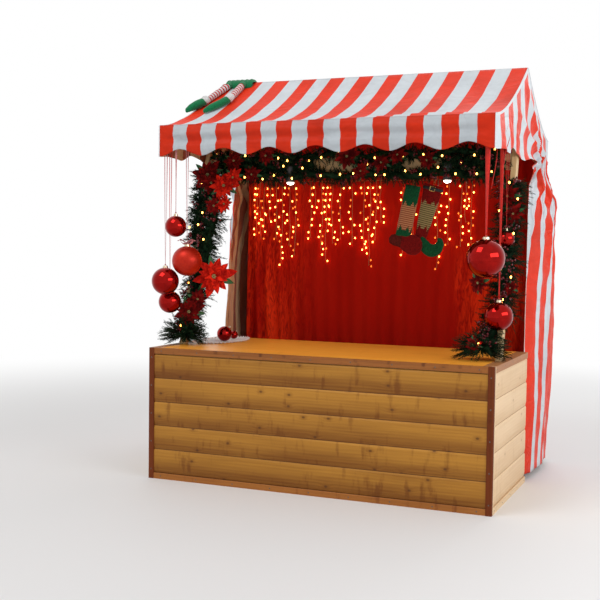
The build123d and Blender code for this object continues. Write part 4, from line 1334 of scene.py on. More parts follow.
@dataclass
class SideTarpaulins:
    """Striped tarpaulins beside the seller's place, tied up high at the gables, and the one behind."""

    hem_z: float = 0.036
    top_z: float = 2.058
    back_y: float = 0.838
    tied_back_y: float = 0.52
    neck_z: float = 1.76
    neck_height: float = 0.22
    tie_z: float = 1.99
    drift: float = 0.10
    tied_outward: float = 0.025
    centre_x: float = 1.0773
    inward: float = -0.0245
    outward: float = 0.085
    flat_width: float = 0.82
    # heights with their y, and where the stripes start
    front_edges: tuple[tuple[Side, Stops, float], ...] = (
        (Side.LEFT, ((0.036, 0.114), (0.90, 0.134), (1.20, 0.175), (1.80, 0.250), (2.058, 0.36)), 0.115),
        (Side.RIGHT, ((0.036, 0.114), (0.97, 0.120), (1.84, 0.155), (1.97, 0.300), (2.058, 0.36)), 0.165),
    )
    # share of the cloth, distance out and share of the way back
    plan: Triples = (
        (0.0, -0.022, 0.0), (0.042, -0.024, 0.04), (0.18, 0.031, 0.157), (0.32, 0.036, 0.306),
        (0.46, 0.060, 0.45), (0.60, 0.070, 0.60), (0.74, 0.040, 0.739), (0.875, 0.046, 0.88),
        (1.0, 0.002, 1.0),
    )
    # height, and how far the folds stand out
    fullness: Stops = (
        (0.036, 0.45), (0.60, 0.95), (1.50, 1.0), (1.85, 0.80), (2.058, 0.10),
    )
    back_fold: float = 0.009
    back_centre_y: float = 0.8323
    back_half: float = 1.046
    eave_z: float = 2.195

    def side_point(self, side: Side, edge: Stops, u: float, v: float) -> Vector:
        """Finds a point of a side tarpaulin.

        Args:
            side: The side it hangs on.
            edge: Heights and places of its front edge.
            u: Share back.
            v: Share down.

        Returns:
            The point.
        """
        z = mix(self.top_z, self.hem_z, v)
        neck = ease((z - self.neck_z) / self.neck_height)
        back = mix(self.back_y - 0.004, self.tied_back_y, neck)
        y = mix(curve_through(edge, z), back, curve_through([(at, run) for at, _, run in self.plan], u))
        stand = curve_through([(at, out) for at, out, _ in self.plan], u)
        if stand > 0:
            stand *= curve_through(self.fullness, z) * (1 + 0.15 * math.sin(z * 4 + u * 5))
        high = ease((z - 1.05) / 0.75)
        waves = math.sin(FULL_TURN * (7 * u + 0.3 * math.sin(z * 2.1)))
        folds = 0.020 * waves * (0.10 + 0.4 * high + 0.5 * neck)
        creased = abs(ripple(y * 9 + z * 4, z * 5 - y * 3, 12.0 + side.value)) - 0.2
        away = self.tie_z - z
        ridge = (1 - abs(math.sin(9 * u + 2.4 * ripple(z * 2.6, u * 2, 4.0) + 5 * away))) ** 1.6
        gathered = 0.034 * (ridge - 0.3) * math.exp(-abs(away) / 0.50)
        crumple = (0.028 * creased + 0.007 * ripple(y * 22, z * 12, 3.0)) * (0.25 + 0.75 * high) + gathered
        held = min(1.0, (0.5 - abs(u - 0.5)) * 20 + 0.25)
        most = mix(self.outward, self.tied_outward, neck)
        out = max(self.inward, min(most, stand + (folds + crumple) * held))
        return Vector((side.value * (self.centre_x + out), min(y, self.back_y), z))

    def build(self) -> None:
        """Adds the three tarpaulins."""
        tall = self.top_z - self.hem_z
        for side, edge, start in self.front_edges:
            maker = MeshMaker()
            maker.grid(
                172, 110, lambda u, v, s=side, e=edge: self.side_point(s, e, u, v),
                lambda u, v, b=start: (u * self.flat_width + b - self.drift * (1 - ease(v * 2.2)), v * tall),
            )
            node = f"side_tarp_{side.name.lower()}"
            piece = lay_tarpaulin(maker, node, "creased_tarp", side is Side.LEFT)
        self.build_back()

    def back_point(self, u: float, v: float) -> Vector:
        """Finds a point of the back tarpaulin.

        Args:
            u: Share across.
            v: Share down.

        Returns:
            The point.
        """
        x = mix(-self.back_half, self.back_half, u)
        z = mix(self.eave_z, self.hem_z, v)
        loose = 0.35 + 0.65 * ease(v * 2)
        wave = math.sin(FULL_TURN * (21 * u + 0.25 * math.sin(z * 2.3 + x * 3)))
        crumple = 0.35 * ripple(x * 4, z * 3, 7.0)
        out = max(-1.0, min(1.0, wave * 0.7 * loose + crumple)) * self.back_fold
        return Vector((x, self.back_centre_y + out, z))

    def build_back(self) -> None:
        """Adds the tarpaulin behind the stall."""
        maker = MeshMaker()
        wide, tall = 2 * self.back_half, self.eave_z - self.hem_z
        maker.grid(250, 46, self.back_point, lambda u, v: (u * wide, v * tall))
        piece = lay_tarpaulin(maker, "back_tarp", "striped_tarp", True)


@dataclass
class VelvetCurtain:
    """Red velvet curtain that closes the back of the stall."""

    half_width: float = 1.046
    y: float = 0.4597
    fold: float = 0.0155
    hem_z: float = 0.036
    gather: float = 1.12
    thickness: float = 0.0022

    def point(self, top: float, u: float, v: float) -> Vector:
        """Finds a point of the curtain.

        Args:
            top: Height of its upper edge.
            u: Share across.
            v: Share down.

        Returns:
            The point.
        """
        x = mix(-self.half_width, self.half_width, u)
        z = mix(top, self.hem_z, v)
        full = 0.30 + 0.70 * max(ease((abs(x + 0.86)) * -6 + 1.6), ease(abs(x - 0.86) * -6 + 1.8))
        wave = math.sin(FULL_TURN * (21 * u + 0.30 * math.sin(z * 1.6 + x * 2.1)))
        broad = 0.45 * math.sin(FULL_TURN * (6.3 * u + 0.15 * math.sin(z * 1.3)))
        out = max(-1.0, min(1.0, wave * full + broad + 0.3 * ripple(x * 5, z * 1.7, 2.0)))
        return Vector((x, self.y + out * self.fold, z))

    def build(self) -> None:
        """Adds the curtain."""
        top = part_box("back_curtain")[1].z - 0.001
        maker = MeshMaker()
        wide, tall = 2 * self.half_width, top - self.hem_z
        maker.grid(300, 40, lambda u, v: self.point(top, u, v), lambda u, v: (u * wide, v * tall))
        piece = maker.build("back_curtain_cloth", ["red_velvet"])
        thicken(piece, self.thickness)
        attach(piece, "red_velvet", "back_curtain")


@dataclass
class FirGarland:
    """An artificial fir garland: sprigs of needles along a wire, with berries and small warm bulbs."""

    name: str
    node: str
    route: list[Vector]
    reach: float = 0.075
    sprigs: int = 300
    needles: int = 56
    needle_length: float = 0.023
    needle_width: float = 0.0030
    core: float = 0.030
    bulbs: int = 12
    berry_groups: int = 8
    half_space: float = 1.165
    back_limit: float = math.inf
    low_limit: float = -math.inf
    foot_sprigs: int = 0
    foot_shift: Vector = field(default_factory=lambda: Vector((0.0, 0.0, 0.0)))
    clumps: float = 0.0
    seed: int = 1
    clear_of: Balls = ()

    def __post_init__(self) -> None:
        """Readies the random draws and the route's length."""
        self.rng = random.Random(self.seed)
        self.runs = [0.0]
        for before, after in zip(self.route[:-1], self.route[1:]):
            self.runs.append(self.runs[-1] + (after - before).length)

    def at(self, share: float) -> tuple[Vector, Vector]:
        """Follows the route.

        Args:
            share: Share of its length.

        Returns:
            The place and the heading there.
        """
        run = share * self.runs[-1]
        for index in range(len(self.route) - 1):
            if run <= self.runs[index + 1]:
                break
        before, after = self.route[index], self.route[index + 1]
        local = (run - self.runs[index]) / max(1e-6, self.runs[index + 1] - self.runs[index])
        return before.lerp(after, local), (after - before).normalized()

    def kept(self, place: Vector) -> bool:
        """Tells whether a point is clear of what the garland lies against.

        Args:
            place: The point.

        Returns:
            Whether it is.
        """
        if place.y > self.back_limit or place.z < self.low_limit or abs(place.x) > self.half_space:
            return False
        return all((place - centre).length > radius for centre, radius in self.clear_of)

    def sprig(self, maker: MeshMaker, base: Vector, heading: Vector, length: float) -> None:
        """Adds one sprig: a thin stem with needles that get shorter towards its tip.

        Args:
            maker: The piece it joins.
            base: Its foot.
            heading: Where it points.
            length: How long it is.
        """
        rng = self.rng
        aside = Vector((rng.uniform(-1, 1), rng.uniform(-1, 1), rng.uniform(-1, 1)))
        side = heading.cross(aside).normalized()
        other = heading.cross(side)
        bend = side * rng.uniform(-0.25, 0.25) + other * rng.uniform(-0.25, 0.25) - UP * 0.12

        def along(share: float) -> Vector:
            """Returns the stem's place at a share of its length."""
            return base + heading * (length * share) + bend * (length * share * share)

        stem = [along(step / 3) for step in range(4)]
        if not self.kept(stem[-1]):
            return
        maker.tube(stem, [0.0016, 0.0014, 0.0012, 0.0006], 3, 1, capped=False)
        for index in range(self.needles):
            share = (index + rng.random()) / self.needles
            angle = FULL_TURN * rng.random()
            root = along(share)
            out = side * math.cos(angle) + other * math.sin(angle)
            way = (heading * 0.75 + out * 0.75 + bend * share).normalized()
            tip = root + way * (self.needle_length * (1.1 - 0.45 * share) * rng.uniform(0.8, 1.15))
            if self.kept(tip):
                breadth = way.cross(out).normalized() * (self.needle_width / 2)
                maker.face([maker.point(corner) for corner in (root - breadth, root + breadth, tip)])

    def build(self) -> None:
        """Adds the garland, its berries and its bulbs."""
        rng = self.rng
        maker = MeshMaker()
        core = [self.at(i / 40)[0] for i in range(41)]
        maker.tube(core, [self.core * rng.uniform(0.75, 1.1) for _ in core], 7, 0)
        for index in range(self.sprigs):
            centre, along = self.at((index + rng.random()) / self.sprigs)
            out = Vector((rng.gauss(0, 1), rng.gauss(0, 1), rng.gauss(0, 1)))
            out = (out - along * out.dot(along)).normalized()
            heading = (out + along * rng.uniform(-0.7, 0.7)).normalized()
            clump = 1 + self.clumps * math.sin(FULL_TURN * (index / self.sprigs * 4.3 + 0.1))
            self.sprig(maker, centre + out * 0.008, heading, self.reach * clump * rng.uniform(0.62, 1.05))
        for _ in range(self.foot_sprigs):
            heading = Vector((rng.gauss(0, 1), rng.gauss(0, 0.7), rng.gauss(0.1, 0.5))).normalized()
            base = self.route[0] + self.foot_shift + heading * rng.uniform(0.02, 0.06)
            self.sprig(maker, base, heading, self.reach * rng.uniform(0.8, 1.15))
        attach(maker.build(f"{self.name}_fir", ["fir_needles", "fir_stem"]), "fir_garland", self.node)
        self.build_berries()
        self.build_bulbs()

    def surface_spots(self, count: int, reach: float) -> Iterable[Vector]:
        """Spreads places over the garland's front half.

        Args:
            count: How many it tries.
            reach: Their distance from its middle.

        Yields:
            Each place that is clear.
        """
        rng = self.rng
        for index in range(count):
            centre, along = self.at((index + rng.uniform(0.2, 0.8)) / count)
            out = Vector((rng.uniform(-0.8, 0.8), -1.0, rng.uniform(-0.9, 0.9)))
            out = (out - along * out.dot(along)).normalized()
            spot = centre + out * reach * rng.uniform(0.75, 1.0)
            if self.kept(spot):
                yield spot

    def build_berries(self) -> None:
        """Adds clusters of dark red berries on short stems."""
        maker = MeshMaker()
        rng = self.rng
        for spot in self.surface_spots(self.berry_groups, self.reach * 0.8):
            for _ in range(rng.randint(6, 10)):
                drift = Vector((rng.gauss(0, 1), rng.gauss(0, 1) * 0.6, rng.gauss(0, 1))) * 0.014
                berry, stem_foot = spot + drift, spot + Vector((0, 0.02, 0))
                if self.kept(berry):
                    maker.ball(berry, rng.uniform(0.0060, 0.0090), 0, 8, 6)
                    maker.tube([berry, stem_foot], [0.0009, 0.0009], 3, 1, capped=False)
        attach(maker.build(f"{self.name}_berries", ["berries", "fir_stem"]), "fir_garland")

    def build_bulbs(self) -> None:
        """Adds the garland's own small warm bulbs in their dark sockets."""
        maker = MeshMaker()
        for spot in self.surface_spots(self.bulbs, self.reach * 0.95):
            maker.ball(spot, 0.0055, 0, 8, 6, 1.3)
            maker.tube([spot + Vector((0, 0.006, 0)), spot + Vector((0, 0.022, 0))], [0.0028, 0.002], 6, 1)
        attach(maker.build(f"{self.name}_bulbs", ["fairy_bulb", "strap_black"]), "light_cable")


@dataclass
class Poinsettia:
    """A velvet poinsettia: two rings of pointed petals, a ring of leaves and a few stamens."""

    centre: Vector
    facing: Vector
    radius: float
    turn: float = 0.0
    # Whether the petals take the darker finish, which is painted shade.
    dark: bool = False

    def petal(
        self, maker: MeshMaker, angle: float, length: float, width: float, lift: float, slot: int
    ) -> None:
        """Adds one petal, folded along its middle and curled at its tip.

        Args:
            maker: The piece it joins.
            angle: Its place around the flower.
            length: How long it is.
            width: How wide it is.
            lift: How far it rises.
            slot: The finish to use.
        """
        normal = self.facing.normalized()
        side = normal.cross(Vector((0.0, 0.05, 1.0))).normalized()
        out = side * math.cos(angle) + normal.cross(side) * math.sin(angle)
        across = normal.cross(out)
        curl = 0.30 * length * (0.6 + 0.4 * math.sin(angle * 3))

        def place(u: float, v: float) -> Vector:
            """Gives a point of the petal.

            Args:
                u: Share across.
                v: Share along.

            Returns:
                The point.
            """
            bulge = math.sin(math.pi * min(1.0, 0.08 + v * 0.92) ** 0.8)
            half = width / 2 * bulge * (1 + 0.12 * math.sin(9 * v))
            offset = (u - 0.5) * 2
            rise = lift * v - curl * v * v + abs(offset) * half * 0.35
            return self.centre + out * (length * v) + across * (offset * half) + normal * rise

        maker.grid(4, 7, place, lambda u, v: (u * width, v * length), slot)

    def build(self, maker: MeshMaker) -> None:
        """Adds the flower; slots are petals, petals darkened as painted shade, leaves and stamens.

        Args:
            maker: The piece it joins.
        """
        slot = 1 if self.dark else 0
        rings = ((6, 1.0, 0.50, 0.08), (6, 0.80, 0.46, 0.22), (5, 0.50, 0.46, 0.40))
        for ring, (count, share, breadth, lift) in enumerate(rings):
            for index in range(count):
                angle = self.turn + FULL_TURN * (index + 0.5 * ring) / count
                length = self.radius * share * (0.92 + 0.14 * math.sin(index * 2.4 + self.turn))
                self.petal(maker, angle, length, length * breadth, lift * self.radius, slot)
        for index in range(3):
            angle = self.turn + 0.5 + FULL_TURN * index / 3
            self.petal(maker, angle, self.radius * 0.95, self.radius * 0.36, -0.08 * self.radius, 2)
        normal = self.facing.normalized()
        for index in range(7):
            angle = FULL_TURN * index / 6
            reach = 0.0 if index == 6 else self.radius * 0.07
            side = normal.cross(Vector((0.0, 0.05, 1.0))).normalized()
            offset = side * (math.cos(angle) * reach) + normal.cross(side) * (math.sin(angle) * reach)
            maker.ball(self.centre + offset + normal * (self.radius * 0.12), self.radius * 0.032, 3, 7, 5)


@dataclass
class Garlands:
    """The three garlands with their poinsettias."""

    strand_inset: float = 0.030
    # name, start, end, height, reach and number of sprigs
    strands: tuple[tuple[str, float, float, float, float, int], ...] = (
        ("upper", -0.975, 0.975, 2.040, 0.060, 760), ("lower", -0.975, 0.975, 1.915, 0.062, 820),
        ("left_fill", -0.975, -0.255, 1.980, 0.055, 300), ("middle_fill", 0.075, 0.335, 1.980, 0.055, 110),
        ("right_fill", 0.60, 0.975, 1.980, 0.055, 160),
    )
    post_lean: float = 0.277
    post_foot_y: float = -0.500
    post_inset: float = 0.035
    top_z: float = 1.860
    flower_reach: float = 0.090
    # heights with their distances from the middle
    runs: tuple[tuple[Side, Stops], ...] = (
        (Side.LEFT, ((0.878, 0.985), (1.057, 0.992), (1.185, 0.990), (1.379, 0.960), (1.574, 0.935),
                     (1.772, 0.948), (1.860, 0.950))),
        (Side.RIGHT, ((0.897, 0.925), (0.956, 0.975), (1.128, 1.022), (1.275, 1.034), (1.860, 1.034))),
    )
    # x, height, radius, turn and whether its petals are darkened as painted shade
    flowers: tuple[tuple[str, tuple[tuple[float, float, float, float, bool], ...]], ...] = (
        ("poinsettias_left", (
            (-0.815, 1.262, 0.148, 0.25, False), (-0.965, 1.925, 0.115, 0.9, True),
            (-0.930, 1.870, 0.085, 0.3, True), (-0.835, 1.850, 0.105, 0.1, False),
            (-0.775, 1.905, 0.075, 0.8, False), (-0.885, 1.720, 0.075, 0.6, True),
            (-0.815, 1.730, 0.065, 1.3, False),
            (-0.960, 1.035, 0.110, 0.4, True), (-0.910, 1.115, 0.080, 1.2, True),
        )),
        ("poinsettias_right", (
            (1.035, 1.770, 0.085, 0.5, True), (1.075, 1.665, 0.075, 1.0, True),
            (0.905, 1.265, 0.080, 0.8, True), (1.090, 1.240, 0.050, 0.2, True),
            (0.905, 0.915, 0.060, 0.3, True),
        )),
        ("poinsettias_beam", (
            (-0.790, 2.015, 0.080, 1.1, True), (-0.660, 1.925, 0.070, 0.4, True),
            (-0.558, 2.045, 0.075, 0.5, True), (0.0, 2.028, 0.090, 0.3, True),
            (0.094, 1.935, 0.068, 0.9, True), (0.225, 1.985, 0.068, 0.2, True),
            (0.330, 2.030, 0.070, 0.1, True), (0.520, 1.995, 0.070, 0.7, True),
        )),
    )

    def post_y(self, z: float) -> float:
        """Follows the leaning posts.

        Args:
            z: A height.

        Returns:
            The distance of the posts' middle there.
        """
        return self.post_foot_y + self.post_lean * (z - COUNTER_TOP)

    def build(self) -> None:
        """Adds the garlands, then their flowers."""
        heights = (1.87, 1.90, 1.93, 1.96)
        lamps = tuple((Vector((x, SPOTS_Y, z)), 0.034) for x in SPOTS_X for z in heights)
        for number in range(len(self.strands)):
            self.build_beam(number, lamps)
        balls = tuple((Vector(ball.centre), ball.radius + 0.004) for ball in HANGING_BALLS)
        for side, run in self.runs:
            self.build_post(side, run, balls)
        self.build_flowers()

    def build_beam(self, number: int, lamps: Balls) -> None:
        """Adds one strand of the beam's garland.

        Args:
            number: Its place in the list.
            lamps: What it keeps clear of.
        """
        name, start, end, height, reach, sprigs = self.strands[number]
        route = []
        for i in range(41):
            sway = 0.011 * math.cos(i * 0.72 + number * 2) + 0.006 * math.sin(i * 1.9)
            route.append(Vector((mix(start, end, i / 40), BEAM_FACE - self.strand_inset, height + sway)))
        bulbs, berries = (18, 16) if number < 2 else (2, 4)
        FirGarland(f"garland_beam_{name}", "garland_beam", route, reach, sprigs, 46, core=0.024, bulbs=bulbs,
                   berry_groups=berries, back_limit=BEAM_FACE - 0.0006, seed=21 + number,
                   clear_of=lamps).build()

    def build_post(self, side: Side, run: Stops, balls: Balls) -> None:
        """Adds the garland of one post, with a thinner outer strand at the left.

        Args:
            side: The post's side.
            run: Heights with their distances from the middle.
            balls: What it keeps clear of.
        """
        name = f"garland_{side.name.lower()}"
        right = side is Side.RIGHT
        route = []
        for i in range(21):
            z = mix(COUNTER_TOP + 0.055, self.top_z, i / 20)
            swing = 0.010 * math.sin(i * 1.15 + side.value)
            x = side.value * (curve_through(run, max(z, run[0][0])) + swing)
            route.append(Vector((x, self.post_y(z) - self.post_inset, z)))
        if not right:
            heights = (1.46, 1.55, 1.65, 1.75, 1.85, 1.93)
            outer = [Vector((-1.040, self.post_y(z) - 0.05, z)) for z in heights]
            FirGarland(f"{name}_outer", name, outer, 0.070, 260, 44, core=0.012, bulbs=2, berry_groups=3,
                       clumps=0.3, seed=77, clear_of=balls).build()
        FirGarland(name, name, route, 0.112 if right else 0.108, 800, 52, core=0.034, bulbs=11,
                   berry_groups=34 if right else 18, low_limit=COUNTER_TOP + 0.002, foot_sprigs=230,
                   foot_shift=Vector((0.0 if right else -0.045, -0.01, 0.004)), clumps=0.22,
                   seed=31 + side.value, clear_of=balls).build()

    def build_flowers(self) -> None:
        """Adds the poinsettias of each garland as one piece."""
        for name, flowers in self.flowers:
            on_beam = name.endswith("beam")
            maker = MeshMaker()
            for x, z, reach, turn, dark in flowers:
                y = BEAM_FACE - 0.088 if on_beam else self.post_y(z) - self.post_inset - self.flower_reach
                inwards = 0.0 if on_beam else -0.35 * math.copysign(1.0, x)
                facing = Vector((inwards + 0.2 * math.sin(turn * 7), -1.0, 0.15 * math.cos(turn * 5)))
                Poinsettia(Vector((x, y, z)), facing, reach, turn, dark).build(maker)
            made = maker.build(f"{name}_petals", ["petal_velvet", "shaded_petal", "leaf_green", "stamens"])
            attach(made, "flower_velvet", name)


@dataclass(frozen=True)
class HangingBall:
    """One ball on its ribbon."""

    name: str
    centre: tuple[float, float, float]
    radius: float
    ribbon: float
    ribbon_top: float
    ribbon_y: float
    finish: str = "red_gloss"
    cloth: str = "ribbon_red"
    bow: bool = False
    loose_ends: Stops = ()

    @property
    def slot(self) -> str:
        """Finds where the ball's finish stands in the record.

        Returns:
            The record's slot.
        """
        return "red_gloss_ball" if self.finish == "red_gloss" else "red_matt_ball"

    def build(self) -> None:
        """Adds the ball with its crimped cap and ring, and the ribbon with its knot."""
        maker = MeshMaker()
        centre = Vector(self.centre)
        maker.ball(centre, self.radius, 0, 56, 32)
        neck = self.radius * 0.17
        base = centre + UP * (self.radius * 0.975)

        def crimp(u: float, v: float) -> Vector:
            """Gives a point of the crimped cap.

            Args:
                u: Share around.
                v: Share up.

            Returns:
                The point.
            """
            angle = FULL_TURN * u
            reach = neck * (1.12 - 0.10 * v + 0.05 * math.cos(angle * 14) * (1 - v))
            return base + Vector((reach * math.cos(angle), reach * math.sin(angle), 0.012 * v))

        maker.grid(42, 3, crimp, None, 1, True)
        lid = base + UP * 0.012
        maker.tube([lid, lid + UP * 0.001], [neck * 1.02, neck * 0.9], 20, 1)
        ring = circle(lid + UP * 0.005, UP * -0.006, Vector((0.006, 0, 0)), 12)
        maker.tube(ring, [0.0008] * len(ring), 5, 1)
        attach(maker.build(f"{self.name}_glass", [self.finish, "ball_cap"]), self.slot, self.name)
        self.build_ribbon(lid + UP * 0.008)

    def strip(
        self, maker: MeshMaker, path: Callable[[float], Vector], width: Callable[[float], float], turn: float
    ) -> None:
        """Adds a flat strip of ribbon.

        Args:
            maker: The piece it joins.
            path: Gives its middle at a share of its length.
            width: Gives its width there.
            turn: How far it twists.
        """
        def place(u: float, v: float) -> Vector:
            """Gives a point of the strip.

            Args:
                u: Share across.
                v: Share along.

            Returns:
                The point.
            """
            angle = turn * math.sin(3.1 * v + turn)
            return path(v) + Vector((math.cos(angle), -math.sin(angle), 0)) * (width(v) * (u - 0.5))

        maker.grid(2, 24, place, lambda u, v: (u * self.ribbon, v))

    def build_ribbon(self, foot: Vector) -> None:
        """Adds the ribbon, narrower towards the ball, with a bow and loose ends where it has them.

        Args:
            foot: The knot over the ball.
        """
        maker = MeshMaker()
        top = Vector((foot.x, self.ribbon_y, self.ribbon_top))
        for strand in (-1, 1) if self.ribbon < 0.012 else (0,):
            apart = Vector((strand * self.ribbon * 0.9, 0, 0))
            self.strip(
                maker,
                lambda v, a=apart: foot.lerp(top, v) + a * math.sin(1.57 * v),
                lambda v, s=strand: self.ribbon * mix(0.4, 1.0, ease(v * 1.3)) * (0.6 if s else 1.0),
                0.5 + 0.2 * strand,
            )
        for index, (aside, length) in enumerate(self.loose_ends):
            start = top + Vector((aside, -0.004 * index, 0))
            self.strip(
                maker,
                lambda v, b=start, n=length, i=index: b + Vector((0.016 * math.sin(v * 4 + i), 0, -n * v)),
                lambda v: 0.0045,
                1.4,
            )
        maker.ball(foot, 0.0045, 0, 8, 6)
        for way in (-1, 1) if self.bow else ():
            def loop(u: float, v: float, w: int = way) -> Vector:
                """Gives a point of a bow's loop.

                Args:
                    u: Share across.
                    v: Share around.
                    w: The side it is on.

                Returns:
                    The point.
                """
                angle = FULL_TURN * v
                reach = 0.048 * math.sin(angle / 2)
                return foot + Vector((w * reach * (0.9 + 0.2 * math.sin(angle)), -0.006 - 0.012 * (u - 0.5),
                                      0.012 * math.sin(angle) + 0.25 * reach + 0.010 * (u - 0.5)))

            def tail(v: float, w: int = way) -> Vector:
                """Gives a place on the middle of a bow's end.

                Args:
                    v: Share along.
                    w: The side it is on.

                Returns:
                    The place.
                """
                return foot + Vector((w * (0.010 + 0.052 * v), -0.008, 0.020 * math.sin(2.4 * v)))

            maker.grid(3, 14, loop)
            self.strip(maker, tail, lambda v: 0.010, 0.8)
        piece = maker.build(f"{self.name}_ribbon", [self.cloth])
        thicken(piece, 0.0006)
        attach(piece, self.slot)


HANGING_BALLS = (
    HangingBall("ball_left_upper", (-0.939, -0.779, 1.575), 0.066, 0.012, 2.136, -0.779, cloth="ribbon_pale"),
    HangingBall("ball_left_matt", (-0.886, -0.728, 1.361), 0.093, 0.008, 2.136, -0.7355, "red_satin",
                cloth="ribbon_pale", bow=True),
    HangingBall("ball_left_outer", (-1.011, -0.779, 1.234), 0.085, 0.010, 2.136, -0.779, cloth="ribbon_pale"),
    HangingBall("ball_left_lower", (-1.031, -0.687, 1.100), 0.071, 0.008, 2.0982, -0.687),
    HangingBall("ball_right_large", (0.998, -0.742, 1.409), 0.107, 0.030, 2.136, -0.742),
    HangingBall("ball_right_upper", (1.036, -0.3968, 1.519), 0.050, 0.008, 2.236, -0.3968),
    HangingBall("ball_right_lower", (1.036, -0.5539, 1.079), 0.082, 0.022, 2.1610, -0.5539,
                loose_ends=((-0.045, 0.36), (0.030, 0.22), (0.018, 0.17))),
)


@dataclass
class Counter:
    """Finishes of the boarded counter and the screws in its trims."""

    half_width: float = 1.085
    front_y: float = -0.845
    batten_width: float = 0.036
    trim_height: float = 0.038
    trim_recess: float = 0.003
    plinth_screw_z: float = 0.018
    cap_inset: float = 0.046
    screw_radius: float = 0.0042
    screw_stops: Stops = ((0.0, 1.0), (0.0006, 0.86))
    dressed: tuple[tuple[str, str], ...] = (
        ("corner_batten_left", "brown_batten"), ("corner_batten_right", "brown_batten"),
        ("front_top_trim", "tan_front"), ("front_plinth", "tan_plinth"), ("front_cladding", "honey_boards"),
        ("side_cladding_left", "pale_boards"), ("side_cladding_right", "pale_boards"),
        ("side_top_rails", "tan_trim"), ("side_bottom_rails", "pale_trim"),
        ("side_corner_strips", "pale_upright"), ("side_cap_strips", "tan_trim"),
        ("countertop", "countertop"), ("counter_legs", "frame_upright"), ("counter_rails", "frame_long"),
        ("counter_bearers", "frame_deep"),
    )

    def screw(self, maker: MeshMaker, place: Vector, out: Vector) -> None:
        """Adds a countersunk screw head with its cross recess.

        Args:
            maker: The piece it joins.
            place: Its middle, on the timber.
            out: The direction it faces.
        """
        sides = 12
        side = UP if abs(out.z) < 0.5 else Vector((1, 0, 0))
        other = out.cross(side)
        stops = [(level, share * self.screw_radius) for level, share in self.screw_stops]
        maker.cap(maker.turned(place, (out, side, other), stops, sides), sides, 0)
        raised = place + out * 0.0008
        for first, second in ((side, other), (other, side)):
            long, short = first * self.screw_radius * 0.6, second * self.screw_radius * 0.14
            corners = (raised + long + short, raised - long + short, raised - long - short,
                       raised + long - short)
            maker.face([maker.point(corner) for corner in corners], 1)

    def build(self) -> None:
        """Gives the counter its finishes and its screws."""
        for node, finish in self.dressed:
            dress(node, finish)
        maker = MeshMaker()
        forward = Vector((0, -1, 0))
        rows = (COUNTER_TOP - self.trim_height / 2, self.plinth_screw_z)
        for x in spread(-1.0, 1.0, 9):
            for z in rows:
                self.screw(maker, Vector((x, self.front_y + self.trim_recess, z)), forward)
        for side in Side:
            batten_x = side.value * (self.half_width - self.batten_width / 2)
            for z in spread(0.06, 0.76, 5):
                self.screw(maker, Vector((batten_x, self.front_y, z)), forward)
            for y in spread(-0.78, 0.06, 5):
                for z in rows:
                    place = Vector((side.value * self.half_width, y, z))
                    self.screw(maker, place, Vector((side.value, 0, 0)))
            for y in spread(-0.79, 0.07, 6):
                place = Vector((side.value * (self.half_width - self.cap_inset), y, COUNTER_TOP))
                self.screw(maker, place, UP)
        attach(maker.build("counter_screws", ["screw_steel", "strap_black"], smooth=False), "grey_metal")


@dataclass
class Framework:
    """Finishes of the posts, rafters and beams, and the carriage bolts at their joints."""

    dressed: tuple[tuple[str, tuple[str, ...]], ...] = (
        ("frame_upright", ("front_post_left", "front_post_right", "rear_posts")),
        ("frame_long", ("cross_beam", "ridge_beam", "front_eave_bar", "back_eave_bar", "curtain_rail")),
        ("frame_deep", ("front_rafters", "back_rafters")),
    )
    inner_x: float = 1.0172
    joints: Stops = ((-0.178, 1.960), (-0.178, 2.005), (-0.20, 2.24), (0.72, 2.08))
    bolt_radius: float = 0.007
    bolt_height: float = 0.003

    def build(self) -> None:
        """Gives the timber its finish and adds the bolts."""
        for finish, nodes in self.dressed:
            for node in nodes:
                dress(node, finish)
        maker = MeshMaker()
        for side in Side:
            for y, z in self.joints:
                foot = Vector((side.value * self.inner_x, y, z))
                head = foot - Vector((side.value * self.bolt_height, 0, 0))
                maker.tube([foot, head], [self.bolt_radius, self.bolt_radius * 0.7], 12)
        attach(maker.build("frame_bolts", ["screw_steel"]), "grey_metal")


@dataclass
class Spotlights:
    """Two dark cylinder spots on the beam: ribbed barrel, lens and bracket with its plate."""

    bottom: float = 1.873
    length: float = 0.108
    radius: float = 0.026
    sides: int = 40
    # finish, and heights with their shares of the radius
    turned: tuple[tuple[int, Stops], ...] = (
        (0, ((0.0, 1.0), (0.004, 1.0), (0.006, 0.985), (0.040, 0.985), (0.041, 0.955), (0.044, 0.955),
             (0.045, 0.985), (0.052, 0.985), (0.053, 0.955), (0.056, 0.955), (0.057, 0.985),
             (0.100, 0.985), (0.106, 0.90), (0.108, 0.60))),
        (0, ((0.0, 1.0), (0.0, 0.90), (0.010, 0.86))),
        (1, ((0.004, 0.88), (-0.006, 0.84), (-0.012, 0.62), (-0.0155, 0.3), (-0.016, 0.001))),
    )

    def build(self) -> None:
        """Adds both spots."""
        maker = MeshMaker()
        axes = (UP, Vector((1, 0, 0)), Vector((0, 1, 0)))
        for x in SPOTS_X:
            centre = Vector((x, SPOTS_Y, self.bottom))
            for slot, profile in self.turned:
                stops = [(level, share * self.radius) for level, share in profile]
                maker.turned(centre, axes, stops, self.sides, slot)
            arm = centre + UP * (self.length - 0.013)
            maker.tube([arm, Vector((x, BEAM_FACE - 0.0005, arm.z))], [0.0078, 0.0078], 12)
            plate = Vector((x, BEAM_FACE - 0.004, arm.z))
            maker.tube([plate, plate + Vector((0, 0.0035, 0))], [0.016, 0.016], 20)
        attach(maker.build("spotlights_barrels", ["grey_metal", "spot_lens"]), "grey_metal", "spotlights")


class Knit(IntEnum):
    """Slots of a stocking's finishes after its first two bands."""

    FOOT = 2
    STRAP = 3
    BUCKLE = 4
    LOOP = 5
    HEEL = 6


